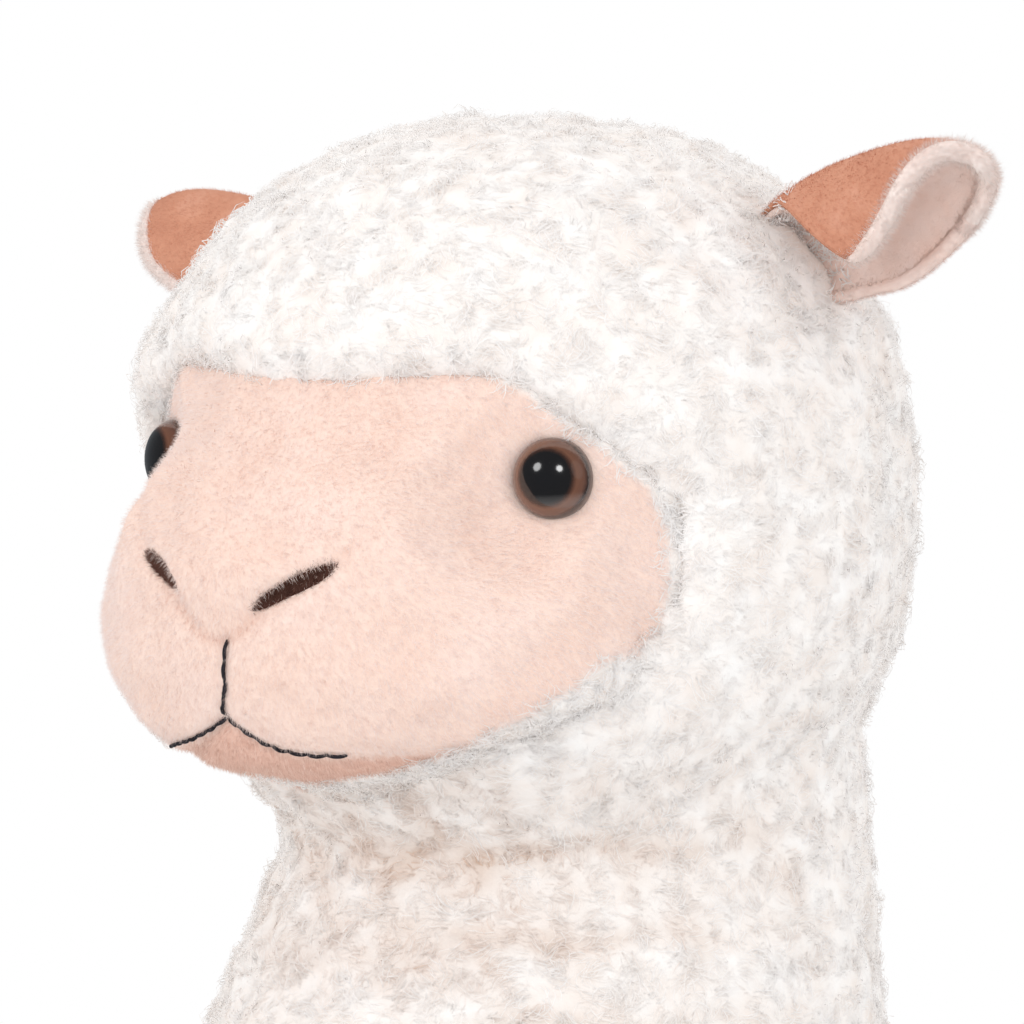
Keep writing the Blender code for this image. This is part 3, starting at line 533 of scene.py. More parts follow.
def ribbons(name, lines, half_widths, out, tints, finish, roll):
    """Tapering strands as flat ribbons that face outwards; the last point of a line is its tip."""
    count, steps, _ = lines.shape
    along = unit(np.gradient(lines, axis=1))
    side = unit(np.cross(along, out[:, None, :]))
    face = np.cross(side, along)
    turn = RNG.normal(0, roll, (count, 1, 1))
    side = side * np.cos(turn) + face * np.sin(turn)
    width = half_widths[:, :, None]
    left = lines[:, :-1] - side[:, :-1] * width[:, :-1]
    right = lines[:, :-1] + side[:, :-1] * width[:, :-1]
    verts = np.concatenate([left, right, lines[:, -1:]], axis=1)
    per = 2 * (steps - 1) + 1
    local = []
    for i in range(steps - 2):
        local += [(i, i + steps - 1, i + steps), (i, i + steps, i + 1)]
    local.append((steps - 2, 2 * steps - 3, per - 1))
    faces = (np.array(local)[None] + (np.arange(count) * per)[:, None, None]).reshape(-1, 3)
    mesh = bpy.data.meshes.new(name)
    mesh.vertices.add(count * per)
    mesh.vertices.foreach_set("co", verts.astype(np.float32).ravel())
    mesh.loops.add(len(faces) * 3)
    mesh.loops.foreach_set("vertex_index", faces.astype(np.int32).ravel())
    mesh.polygons.add(len(faces))
    mesh.polygons.foreach_set("loop_start", np.arange(0, len(faces) * 3, 3, dtype=np.int32))
    mesh.update(calc_edges=True)
    mesh.shade_smooth()
    own = unit(np.cross(side, along))
    mix = unit(own * (1 - NORMAL_SOFTNESS) + out[:, None, :] * NORMAL_SOFTNESS)
    normals = np.concatenate([mix[:, :-1], mix[:, :-1], mix[:, -1:]], axis=1).reshape(-1, 3)
    mesh.normals_split_custom_set_from_vertices(normals.tolist())
    set_share(mesh, "tint", np.repeat(tints, per))
    mesh.materials.append(finish)
    made = bpy.data.objects.new(name, mesh)
    bpy.context.scene.collection.objects.link(made)
    return made


def curls(spot, out, per, length, width=0.12 * MM, rise=(0.3, 0.85), gather=1.2 * MM, paleness=0.82):
    """Strands in clumps: each climbs out of the surface, curls round and comes down again."""
    count = len(spot)
    level, fall = frame_at(out)
    heading = np.where(RNG.random(count) < 0.5, 0.0, math.pi) + RNG.normal(0, 0.5, count)
    heading = np.where(RNG.random(count) < LEVEL_SHARE, heading, RNG.uniform(0, 2 * math.pi, count))
    bend = np.where(RNG.random(count) < 0.5, -1.0, 1.0) * RNG.uniform(0.25, 0.95, count)
    size = length * RNG.uniform(0.75, 1.25, count)
    climb = RNG.uniform(*rise, count)
    who = np.repeat(np.arange(count), per)
    total = len(who)
    spread = RNG.normal(0, 1, (total, 2)) * gather
    place = spot[who] + level[who] * spread[:, :1] + fall[who] * spread[:, 1:] - out[who] * 0.3 * MM
    step = (size[who] * RNG.uniform(0.7, 1.2, total) / 3)[:, None]
    angle = heading[who] + RNG.normal(0, 0.35, total)
    turn = bend[who] * RNG.uniform(0.6, 1.4, total)
    lift = climb[who] * RNG.uniform(0.7, 1.3, total)
    points = [place]
    for share in CURL_LIFTS:
        along = level[who] * np.cos(angle)[:, None] + fall[who] * np.sin(angle)[:, None]
        tilt = (lift * share)[:, None]
        place = place + step * (along * np.cos(tilt) + out[who] * np.sin(tilt))
        points.append(place)
        angle = angle + turn
    lines = np.stack(points, 1)
    widths = width * RNG.uniform(0.7, 1.4, total)[:, None] * np.array([CURL_TAPER])
    # Painted shade: tints darken in the neck folds and, warmer, on the throat under the head
    clump = RNG.normal(paleness, 0.06, count) + 0.05 * waves(spot, 0.02, 11) - 0.24 * crease(spot)
    clump -= (0.32 + 0.20 * waves(spot, 0.016, 12)) * throat_painted_shade(spot)
    tints = np.clip(clump[who] + RNG.normal(0, 0.07, total), 0, 1)
    return lines, widths, out[who], tints


def add_tufts(name, data, wanted=slice(None)):
    """Fleece strands in pieces that each stay within the limit on triangles."""
    lines, widths, out, tints = (part[wanted] for part in data)
    pieces = max(1, math.ceil(len(lines) / MOST_STRANDS))
    order = np.arange(len(lines)) * pieces // max(1, len(lines))
    for i in range(pieces):
        some = order == i
        label = name if pieces == 1 else f"{name}_{i + 1}"
        strand = ribbons(label, lines[some], widths[some], out[some], tints[some], FLEECE_PILE, roll=0.35)
        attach(strand, "root")


def add_halves(name, data):
    """One piece of strands for the left half and one for the right."""
    left = data[0][:, 0, 0] > HEAD[0]
    add_tufts(name + "_left", data, left)
    add_tufts(name + "_right", data, ~left)


# Coat
def throat_painted_shade(points):
    """Painted shade on the throat under the head, a warmer and darker tone, from 0 to 1."""
    x, z = points[:, 0] - HEAD[0], points[:, 2]
    near = bell(z - THROAT_SHADE_AT[1], THROAT_SHADE_REACH[1]) * bell(x - THROAT_SHADE_AT[0], THROAT_SHADE_REACH[0])
    return near * (points[:, 1] < HEAD[1] + 0.02)


def crease(points):
    """Level folds round the front of the neck, from 0 to 1; they sink the skin and carry painted shade."""
    x, z = points[:, 0] - HEAD[0], points[:, 2]
    total = np.zeros(len(points))
    for height, slope, half_width, reach in NECK_FOLDS:
        line = height + slope * (x - 0.03) + 2.0 * MM * waves(points, 0.03, int(height * 1000))
        total += bell(z - line, half_width * MM) * bell(x - FOLDS_FROM_MIDDLE, reach)
    return np.clip(total, 0, 1) * (points[:, 1] < HEAD[1] + 0.03)


def thinned_coat(points):
    """Sinks the skin under its pile, and more so towards the face, where the coat runs out."""
    filling = NODES["filling"].data
    tree = BVHTree.FromPolygons(coordinates(filling).tolist(), [list(f.vertices) for f in filling.polygons])
    inner = np.array([tree.find_nearest(Vector(p))[0] for p in points])
    away = points - inner
    height = np.linalg.norm(away, axis=1)
    x, z = front_view(points)
    at_side = np.clip((np.abs(x) - 0.055) / 0.012, 0, 1)
    at_side *= np.clip((z + 0.050) / 0.015, 0, 1)
    at_side *= x < 0
    outside = -face_depth(points)
    run = EDGE_RUN - (EDGE_RUN - EDGE_RUN_AT_SIDES) * at_side
    share = 1 - (1 - np.clip(outside / run, 0, 1)) ** 2
    allowed = EDGE_HEIGHT + (np.maximum(height - COAT_SINK, EDGE_HEIGHT) - EDGE_HEIGHT) * share
    fuller = FULLER_AT_SIDE * at_side * bell(outside - 9 * MM, 8 * MM)
    return inner + unit(away) * (np.minimum(height, allowed) + fuller)[:, None]


def make_coat():
    """The skin under the fleece, open at the face and at the ankles, with soft lumps and folds, and painted
    shade in the folds and on the throat.
    """
    starts = ("head_cover", "body_side", "leg_cover", "belly_panel")
    covers = sorted(n for n in NODES if n.startswith(starts))
    made = skin("fleece_skin", ["filling"] + covers, COAT_VOXEL, 4, FLEECE_BASE)
    points = coordinates(made.data)
    in_face = face_depth(points) > 1.5 * MM
    keep_faces(made, ~in_face & (points[:, 2] > ANKLE - 1 * MM))
    points = thinned_coat(coordinates(made.data))
    set_coordinates(made.data, points)
    near_face = np.clip(-face_depth(points) / (10 * MM), 0.1, 1)
    lump = (0.50 * waves(points, 0.0085, 21) + 0.40 * waves(points, 0.018, 22)) * MM * near_face
    lump -= 1.6 * MM * crease(points)
    set_coordinates(made.data, points + vertex_normals(made.data) * lump[:, None])
    # Painted shade on the skin in the neck folds and on the throat under the head
    shade = 0.34 * crease(points) + (0.34 + 0.22 * waves(points, 0.016, 12)) * throat_painted_shade(points)
    set_share(made.data, "shade", np.clip(shade, 0, 1))
    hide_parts("filling", *covers)
    return made


coat = make_coat()
tail = skin("tail_skin", ["tail"], TAIL_VOXEL, 3, FLEECE_BASE)
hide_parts("tail")


# Feet
def make_foot(name):
    parts = ["foot_cover_" + name, "sole_" + name]
    low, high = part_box(parts[0])
    foot = skin("foot_" + name, ["filling"] + parts, FOOT_VOXEL, 4, FOOT_BASE)
    points = coordinates(foot.data)
    near = points[:, 2] < ANKLE + 2 * MM
    for i in (0, 1):
        near &= (points[:, i] > low[i] - 3 * MM) & (points[:, i] < high[i] + 3 * MM)
    keep_faces(foot, near)
    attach(foot, "root")
    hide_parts(*parts)


for name in FOOT_NAMES:
    make_foot(name)


# Face
def chin_pile_and_shade(points):
    """1 on the chin below the mouth's seam, 0 above it: it darkens there, partly for its own darker pile and
    partly as painted shade.
    """
    x, z = front_view(points)
    seam = np.interp(x, *np.array(MOUTH_SEAM).T)
    return np.clip((seam - z) / (1.2 * MM), 0, 1) * np.clip((0.052 - np.abs(x)) / 0.018, 0, 1)


def seam_painted_shade(points):
    """1 in the seam round the nose, fading out within 2 mm, where painted shade darkens the seam's groove."""
    x, z = front_view(points)
    near = bell(outline_distance(x, z, closed(BRIDGE_OUTLINE)), 1.3 * MM)
    return near * np.clip((-0.012 - z) / 0.010, 0, 1)


def face_push(points):
    """How far the skin of the face moves out: seams and nostrils sink in, lip and chin stand out."""
    x, z = front_view(points)
    bridge_seam = np.abs(outline_distance(x, z, closed(BRIDGE_OUTLINE)))
    mouth = np.minimum(line_distance(x, z, MOUTH_LINES["left"]), line_distance(x, z, MOUTH_LINES["right"]))
    nose_low = np.clip((0.012 - z) / 0.02, 0, 1)
    push = -0.9 * MM * bell(bridge_seam, 2.2 * MM) * (0.25 + 0.75 * nose_low)
    push -= 0.9 * MM * bell(line_distance(x, z, MOUTH_SEAM), 1.4 * MM)
    push -= 1.4 * MM / (1 + np.exp(np.clip(nostril_distance(x, z) / (0.5 * MM), -30, 30)))
    push += 1.9 * MM * bell(z + 0.052, 0.020)
    push -= 1.0 * MM * bell(line_distance(x, z, PHILTRUM_LINE), 1.5 * MM)
    push -= 0.7 * MM * bell(mouth, 1.3 * MM)
    chin = np.clip((0.030 - x) / 0.030, 0, 1) * np.clip((0.050 + x) / 0.014, 0, 1)
    chin *= np.clip((-0.030 - points[:, 1] + HEAD[1]) / 0.015, 0, 1)
    push += 3.2 * MM * bell(z + 0.067, 0.010) * chin
    push += 0.25 * MM * waves(points, 0.030, 31)
    return push


def make_face():
    panels = ["cheek_left", "cheek_right", "face_bridge", "chin_panel"]
    solids = ["filling"] + panels + ["nostril_left", "nostril_right"]
    made = skin("face_skin", solids, FACE_VOXEL, 5, FACE_BASE)
    keep_faces(made, face_depth(coordinates(made.data)) > -7 * MM)
    points = coordinates(made.data)
    set_coordinates(made.data, points + vertex_normals(made.data) * face_push(points)[:, None])
    # Painted shade on the chin below the mouth, partly its own darker pile, and in the nose seam's groove
    set_share(made.data, "shade", np.maximum(chin_pile_and_shade(points), 0.4 * seam_painted_shade(points)))
    under_fleece = -fleece_depth(coordinates(made.data)) / (1.0 * MM)
    set_share(made.data, "cover", np.clip(under_fleece, 0, 1))
    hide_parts(*panels)
    return made


face = make_face()
for piece, fill in ((coat, 0.85), (tail, 0.8), (face, 0.9)):
    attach(piece, "root")


# Ears
def ear_axes(side):
    base = HEAD + np.array(EAR_ROOTS[side])
    tip = HEAD + np.array(EAR_TIPS[side])
    length = np.linalg.norm(tip - base)
    axis = (tip - base) / length
    up = unit(np.array([0, 0, 1.0]) - axis * axis[2])
    front = np.cross(up, axis)
    if front[1] > 0:
        front = -front
    return base, axis, up, front, length


def ear_radius(along):
    below = np.clip(EAR_WIDEST_AT - along, 0, 1) / EAR_WIDEST_AT
    root = 1.0 - EAR_ROOT_NARROWING * below ** 2
    beyond = np.clip((along - EAR_WIDEST_AT) / (1 - EAR_WIDEST_AT), 0, 1)
    tip = np.maximum(1 - beyond ** EAR_TIP_POWER, 0) ** (1 / EAR_TIP_POWER)
    return EAR_WIDTH * np.where(along < EAR_WIDEST_AT, root, tip)


# Where the leaf's front rim and back rim lie: shares along the ear and degrees round its axis
RIM_AT = {
    "left": ((0, 0.15, 0.3, 0.4, 0.48, 0.58, 0.68, 0.77, 0.85, 0.92, 0.96),
             (80, 60, 18, -8, -27, -16, 2, 32, 65, 98, 118)),
    "right": ((0, 0.3, 0.55, 0.7, 0.82, 0.89, 0.93, 0.96), (-20, -30, -30, -22, -10, 20, 70, 112)),
}
BACK_AT = ((0, 0.3, 0.47, 0.6, 0.8, 0.87, 0.94, 0.96), (240, 228, 230, 215, 190, 175, 150, 134))
RIM_START = {"left": 0.44, "right": 0.35}
RIM_THICKNESS = ((0, 9, 44, 62, 80, 108), (0.7, 2.0, 2.3, 1.9, 1.5, 1.4))


def eased(along, table, spread=0.035):
    steps = np.linspace(-spread, spread, 7)
    return np.mean([np.interp(along + step, *table) for step in steps], axis=0)


def ear_spot(side, along, around, inset):
    """Points of the bent leaf: along runs from root to tip, around from front rim to back rim."""
    base, axis, up, front, length = ear_axes(side)
    full = ear_radius(along)
    radius = full - np.minimum(inset, full * 0.62)
    front_end = np.radians(eased(along, RIM_AT[side]))
    back_end = np.radians(eased(along, BACK_AT))
    turn = front_end + (back_end - front_end) * around
    spot = (base + axis * (length * along)[..., None]
            + front * (radius * EAR_FLATNESS * np.cos(turn))[..., None]
            + up * (radius * np.sin(turn))[..., None])
    if side == "right":
        spot[..., 0] = 2 * HEAD[0] - spot[..., 0]
    return spot


def ear_place(points, side):
    """Share along the ear, turn round its axis in degrees and distance from the axis of each point."""
    base, axis, up, front, length = ear_axes(side)
    rel = points - base
    if side == "right":
        rel = points * [-1, 1, 1] + [2 * HEAD[0], 0, 0] - base
    across, rise = rel @ front / EAR_FLATNESS, rel @ up
    turn = np.degrees(np.arctan2(rise, across))
    return rel @ axis / length, np.where(turn < -100, turn + 360, turn), np.hypot(across, rise)


def leaf(name, side, inset, thickness, finish, rows=34, columns=44):
    ease = np.linspace(0, 1, rows + 1)
    along = EAR_TIP_AT * (1 - (1 - ease) ** 1.5)[:, None] * np.ones(columns + 1)
    around = np.ones((rows + 1, 1)) * np.linspace(0, 1, columns + 1)
    sheets = []
    for depth in (inset, inset + thickness):
        sheet = ear_spot(side, along, around, depth * np.ones_like(along))
        sheets.append(sheet.reshape(-1, 3))
    size = (rows + 1) * (columns + 1)
    index = np.arange(size).reshape(rows + 1, columns + 1)
    a, b, c, d = index[:-1, :-1], index[1:, :-1], index[1:, 1:], index[:-1, 1:]
    outer = np.stack([a, b, c, d], -1).reshape(-1, 4)
    inner = np.stack([a, d, c, b], -1).reshape(-1, 4) + size
    edges = []
    for column in (0, columns):
        for i in range(rows):
            one, two = index[i, column], index[i + 1, column]
            edges.append((one, one + size, two + size, two))
    for j in range(columns):
        one, two = index[0, j], index[0, j + 1]
        edges.append((one, two, two + size, one + size))
    faces = np.concatenate([outer, inner, np.array(edges)])
    made = mesh_object(name, np.vstack(sheets), faces, finish)
    shape = bmesh.new()
    shape.from_mesh(made.data)
    bmesh.ops.remove_doubles(shape, verts=shape.verts, dist=0.00005)
    bmesh.ops.recalc_face_normals(shape, faces=shape.faces)
    shape.to_mesh(made.data)
    shape.free()
    made.data.shade_smooth()
    return made


def tube(name, path, radius, finish, sides):
    """A round bead along a path of points, with closed ends."""
    path = np.asarray(path, float)
    along = unit(np.gradient(path, axis=0))
    first = unit(np.cross(along[0], [0.3, 0.2, 1.0]))
    frames = [first]
    for way in along[1:]:
        last = frames[-1]
        frames.append(unit(last - way * (last @ way)))
    frames = np.array(frames)
    other = np.cross(along, frames)
    turn = np.arange(sides) * 2 * math.pi / sides
    radius = np.broadcast_to(radius, len(path))
    ring = (path[:, None] + frames[:, None] * (np.cos(turn)[None, :, None] * radius[:, None, None])
            + other[:, None] * (np.sin(turn)[None, :, None] * radius[:, None, None]))
    ends = [list(range(sides))[::-1], list(range((len(path) - 1) * sides, len(path) * sides))]
    return mesh_object(name, ring.reshape(-1, 3), bands(len(path), sides) + ends, finish)


def fuzz(name, mesh, count, length, half_width, lean, lift, tint, finish, keep=None):
    """Short pile: one thin triangle a hair, leaning one way along the surface."""
    spot, out, _ = sampled(mesh, count)
    if keep is not None:
        good = keep(spot)
        spot, out = spot[good], out[good]
    total = len(spot)
    way = lean(spot) if callable(lean) else np.broadcast_to(np.array(lean, float), spot.shape)
    way = way + RNG.normal(0, 0.45, (total, 3))
    way = unit(way - out * dot(way, out))
    rise = RNG.uniform(lift[0], lift[1], total)[:, None]
    reach = (length * RNG.uniform(0.6, 1.25, total))[:, None]
    tip = spot + (way * np.cos(rise) + out * np.sin(rise)) * reach
    root = spot - out * 0.15 * MM
    lines = np.stack([root, tip], 1)
    widths = np.stack([half_width * RNG.uniform(0.7, 1.3, total), np.zeros(total)], 1)
    tints = np.clip((tint(spot) if callable(tint) else tint) + RNG.normal(0, 0.14, total), 0, 1)
    made = ribbons(name, lines, widths, out, tints, finish, roll=0.3)
    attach(made, "root")


def make_ear(side, sign):
    """Outer leaf, lining, pale folded rim and back edge of one ear, each with its nap."""
    outer = leaf("ear_" + side, side, 0.0, 1.3 * MM, EAR_BASE)
    lining = leaf("ear_lining_skin_" + side, side, 1.45 * MM, 1.6 * MM, LINING_BASE)
    along, turn, _ = ear_place(coordinates(lining.data), side)
    # Painted shade on the lining in the hollow under the front rim
    shade_under_rim = bell(turn - eased(along, RIM_AT[side]), 42) * np.clip((along - 0.35) / 0.2, 0, 1)
    set_share(lining.data, "shade", 0.8 * shade_under_rim)

    # The rim climbs the front edge, 50 points, and comes back along the rear one, 59 points
    start = RIM_START[side]
    rim_along = np.concatenate([np.linspace(start, EAR_TIP_AT, 50), np.linspace(EAR_TIP_AT, 0.12, 60)[1:]])
    rim_around = np.concatenate([np.zeros(50), np.ones(59)])
    rim_wide = np.interp(np.arange(109), *RIM_THICKNESS) * MM
    rim_path = ear_spot(side, rim_along, rim_around, np.maximum(rim_wide, 1.5 * MM))
    for _ in range(3):
        rim_path[1:-1] = (rim_path[:-2] + 2 * rim_path[1:-1] + rim_path[2:]) / 4
    rim = tube("ear_rim_" + side, rim_path[:66], rim_wide[:66], RIM_BASE, 14)
    back_wide = rim_wide[62:] * np.linspace(1.02, 1, 47)
    back_edge = tube("ear_back_edge_" + side, rim_path[62:], back_wide, LINING_BASE, 14)
    for piece in (outer, lining, rim, back_edge):
        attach(piece, "root")
    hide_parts("ear_outer_" + side)
    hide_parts("ear_lining_" + side)

    axis = ear_axes(side)[1]
    lean = np.array([sign * axis[0], axis[1], axis[2] - 0.5])
    for nap, under, count, length, half_width, lift, tint, finish, slot in (
            ("ear_nap_", outer, 20000, 1.2, 0.058, (0.3, 0.7), 0.55, EAR_PILE, "ear_velour"),
            ("ear_lining_nap_", lining, 9000, 1.4, 0.07, (0.4, 0.9), 0.6, LINING_PILE, "ear_lining"),
            ("ear_rim_nap_", rim, 10000, 2.0, 0.07, (0.5, 1.2), 0.6, RIM_PILE, "ear_lining"),
            ("ear_back_nap_", back_edge, 6000, 1.3, 0.06, (0.3, 0.9), 0.6, LINING_PILE, "ear_lining")):
        fuzz(nap + side, under.data, count, length * MM, half_width * MM, lean, lift, tint, finish)


for side, sign in SIDES:
    make_ear(side, sign)


def inside_ear(points, margin=0.0):
    found = np.zeros(len(points), bool)
    for side, _ in SIDES:
        along, turn, flat = ear_place(points, side)
        radius = ear_radius(np.clip(along, 0, 1)) + margin
        covered = (turn > eased(along, RIM_AT[side]) - 12) & (turn < eased(along, BACK_AT) + 8)
        deep = (along > 0.22) & (flat < 0.4 * radius)
        found |= (along > 0.10) & (along < 1.05) & (flat < radius) & (covered | deep)
    return found


# Fleece
def head_fleece():
    spots, outs = even_spots(coat.data, 3.2 * MM)
    under_chin = (face_depth(spots) > -2 * MM) & (spots[:, 2] < EYE_LEVEL - 0.056) & (spots[:, 1] < HEAD[1])
    under_chin &= (np.abs(spots[:, 0] - HEAD[0] + 0.012) < 0.024)
    good = ~inside_ear(spots) & (spots[:, 2] > HEAD_FLEECE_FROM) & ~under_chin
    add_halves("fleece_head", curls(spots[good], outs[good], 8, 5.4 * MM))


def edge_fleece():
    """Tufts over the seam of the face, round the ears and at their roots."""
    spots, outs, _ = sampled(face.data, 15000)
    x, z = front_view(spots)
    clear_of_eye = np.hypot(np.abs(x) - EYE_PLACE[0], z) > EYE_RADIUS + 1.5 * MM
    good = (fleece_depth(spots) < -0.3 * MM) & (face_depth(spots) > -3.0 * MM) & clear_of_eye
    groups = [curls(spots[good], outs[good], 3, 4.6 * MM, gather=0.8 * MM, paleness=0.9)]
    spots, outs, _ = sampled(coat.data, 45000)
    near = face_depth(spots)
    good = (near > -4 * MM) & (near < 1.6 * MM) & (spots[:, 2] > EYE_LEVEL - 0.060)
    groups.append(curls(spots[good], outs[good], 2, 4.6 * MM, gather=0.7 * MM, paleness=0.9))
    by_ear = np.zeros(len(spots), bool)
    for side, sign in SIDES:
        base, axis, _, _, length = ear_axes(side)
        root = base + axis * (0.12 * length)
        root[0] = HEAD[0] + sign * (root[0] - HEAD[0])
        by_ear |= np.linalg.norm(spots - root, axis=1) < 0.024
    by_ear &= ~inside_ear(spots)
    groups.append(curls(spots[by_ear], outs[by_ear], 3, 5.0 * MM, gather=0.8 * MM, rise=(0.5, 1.1)))
    for side, _ in SIDES:
        lining = bpy.data.objects["ear_lining_skin_" + side]
        spots, outs, _ = sampled(lining.data, 1500)
        good = ear_place(spots, side)[0] < 0.24
        groups.append(curls(spots[good], outs[good], 3, 5.4 * MM, gather=0.8 * MM, rise=(0.7, 1.3)))
    add_tufts("fleece_edge", [np.concatenate(parts) for parts in zip(*groups)])


def body_fleece():
    spots, outs = even_spots(coat.data, 5.0 * MM)
    low = spots[:, 2] <= BODY_FLEECE_TO
    add_halves("fleece_body", curls(spots[low], outs[low], 4, 7.0 * MM, width=0.25 * MM, gather=2.0 * MM))


def tail_fleece():
    spots, outs = even_spots(tail.data, 3.8 * MM)
    add_tufts("fleece_tail", curls(spots, outs, 7, 6.0 * MM, width=0.16 * MM))


def flyaway_fibres():
    spots, outs, _ = sampled(coat.data, 3000)
    good = ~inside_ear(spots, 1 * MM)
    add_tufts("fleece_flyaway", curls(spots[good], outs[good], 1, 5.0 * MM, width=0.06 * MM, rise=(0.7, 1.2)))


head_fleece()
edge_fleece()
body_fleece()
tail_fleece()
flyaway_fibres()


# Pile of the face and the feet
def face_lean(points):
    """Pile runs back and down from the nose."""
    x = (points[:, 0] - HEAD[0]) / 0.07
    level = np.ones(len(points))
    return np.stack([x * 0.6, 0.8 * level, -0.75 * level], -1)


def face_open(spot):
    x, z = front_view(spot)
    eye = np.hypot(np.abs(x) - EYE_PLACE[0], z) < EYE_RADIUS * 0.9
    bare = (face_depth(spot) > -1.5 * MM) & (fleece_depth(spot) > -0.5 * MM)
    return bare & ~eye & (nostril_distance(x, z) > 0.1 * MM)


def foot_open(spot):
    return (spot[:, 2] > 3 * MM) & (spot[:, 2] < ANKLE)


def face_tint(spot):
    # The nap darkens on the chin, partly its own darker pile and partly painted shade, and with painted shade
    # in the nose seam
    pale = 0.18 * np.clip((np.abs(spot[:, 0] - HEAD[0]) - 0.022) / 0.03, 0, 1)
    return 0.64 + pale - np.maximum((0.45 + pale) * chin_pile_and_shade(spot), 0.22 * seam_painted_shade(spot))


fuzz("face_nap", face.data, 120000, 1.9 * MM, 0.060 * MM, face_lean, (0.30, 0.75), face_tint,
     FACE_PILE, keep=face_open)
for name in FOOT_NAMES:
    fuzz("foot_nap_" + name, bpy.data.objects["foot_" + name].data, 9000, 2.0 * MM, 0.11 * MM,
         (0, 0, -1.0), (0.3, 0.8), 0.66, FACE_PILE, keep=foot_open)


# Nostrils: a dark pad on the face inside each outline
def on_face(x, z):
    origin = Vector((HEAD[0] + x, -1.0, EYE_LEVEL + z))
    hit, spot, normal, _ = face.ray_cast(origin, Vector((0, 1, 0)))
    return np.array(spot), np.array(normal)


def smooth_loop(outline, count):
    """A closed curve through the corners, evenly stepped."""
    p = np.array(outline)
    t = np.linspace(0, len(p), count, endpoint=False)
    k = t.astype(int)
    u = (t - k)[:, None]
    a, b, c, d = (p[(k + step) % len(p)] for step in (-1, 0, 1, 2))
    return b + 0.5 * u * (c - a + u * (2 * a - 5 * b + 4 * c - d + u * (3 * (b - c) + d - a)))


def nostril_pad(side, sign):
    """A dark pad in rings, tucked into the face at its rim and covered with its own nap."""
    loop = smooth_loop(NOSTRIL_OUTLINES[side], PAD_CORNERS)
    centre = loop.mean(0)
    verts = []
    for share in PAD_RINGS:
        for x, z in centre + (loop - centre) * share:
            spot, normal = on_face(sign * x, z)
            verts.append(spot + normal * (PAD_HEIGHT if share <= 1 else -PAD_TUCK))
    spot, normal = on_face(sign * centre[0], centre[1])
    verts.append(spot + normal * PAD_HEIGHT)
    faces = bands(len(PAD_RINGS), PAD_CORNERS)
    last = (len(PAD_RINGS) - 1) * PAD_CORNERS
    faces += [(last + k, last + (k + 1) % PAD_CORNERS, len(verts) - 1) for k in range(PAD_CORNERS)]
    pad = mesh_object("nostril_pad_" + side, verts, faces, NOSTRIL_BASE)
    shape = bmesh.new()
    shape.from_mesh(pad.data)
    bmesh.ops.recalc_face_normals(shape, faces=shape.faces)
    if sum(f.normal.y for f in shape.faces) > 0:
        bmesh.ops.reverse_faces(shape, faces=shape.faces)
    shape.to_mesh(pad.data)
    shape.free()
    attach(pad, "root")
    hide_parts("nostril_" + side)
    fuzz("nostril_nap_" + side, pad.data, 2600, 1.7 * MM, 0.06 * MM, (0.5 * sign, 0.2, 0.7), (0.3, 0.9),
         0.45, NOSTRIL_PILE)


bpy.context.view_layer.update()
for side, sign in SIDES:
    nostril_pad(side, sign)


# Mouth: a run of short stitches sunk a little into the pile
def stitched(name, line, cad_node):
    line = np.array(line)
    seg = np.linalg.norm(np.diff(line, axis=0), axis=1)
    reach = np.concatenate([[0], np.cumsum(seg)])
    count = max(2, int(round(reach[-1] / STITCH_PITCH)))
    pieces = []
    for i in range(count):
        ends = (i - STITCH_OVERLAP, i + 1 + STITCH_OVERLAP)
        steps = np.linspace(reach[-1] * ends[0] / count, reach[-1] * ends[1] / count, 9)
        spots = []
        for k, step in enumerate(steps):
            spot, normal = on_face(np.interp(step, reach, line[:, 0]), np.interp(step, reach, line[:, 1]))
            arch = math.sin(math.pi * k / 8)
            spots.append(spot + normal * (0.30 * MM + 0.50 * MM * arch))
        thick = STITCH_RADIUS * np.sin(np.linspace(0.12, math.pi - 0.12, 9)) ** 0.4
        pieces.append(tube(f"{name}_{i}", spots, thick, THREAD, 8))
    made = mesh_object(name, *joined([piece.data for piece in pieces]), THREAD)
    for piece in pieces:
        bpy.data.objects.remove(piece)
    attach(made, "root")
    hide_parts(cad_node)


stitched("philtrum_thread", PHILTRUM_LINE, "philtrum_stitch")
stitched("mouth_thread_left", MOUTH_LINES["left"], "mouth_stitch_left")
stitched("mouth_thread_right", MOUTH_LINES["right"], "mouth_stitch_right")


# Eyes
def eye_material():
    made, tree, shader = new_material("eye_dome")
    where = node(tree, "ShaderNodeTexCoord")
    shift = node(tree, "ShaderNodeVectorMath", {0: where.outputs["Object"], 1: (0.0002, -0.0003, 0.0)},
                 operation="ADD")
    flat = node(tree, "ShaderNodeVectorMath", {0: shift.outputs["Vector"], 1: (1.0, 1.0, 0.0)},
                operation="MULTIPLY")
    far = node(tree, "ShaderNodeVectorMath", {0: flat.outputs["Vector"]}, operation="LENGTH")
    share = node(tree, "ShaderNodeMath", {0: far.outputs["Value"], 1: EYE_RADIUS}, operation="DIVIDE")
    wander = node(tree, "ShaderNodeMath", {0: noise(tree, 900, 2.0), 1: 0.03, 2: share.outputs["Value"]},
                  operation="MULTIPLY_ADD")
    colour = ramp(tree, wander.outputs["Value"], [
        (0.0, linear(14, 13, 16)), (0.63, linear(16, 13, 14)), (0.69, linear(58, 34, 24)),
        (0.78, linear(112, 74, 56)), (0.92, linear(104, 70, 56)), (0.99, linear(44, 30, 26)),
    ])
    tree.links.new(colour, shader.inputs["Base Color"])
    shader.inputs["Roughness"].default_value = 0.12
    shader.inputs["Coat Weight"].default_value = 1.0
    shader.inputs["Coat Roughness"].default_value = 0.09
    return made


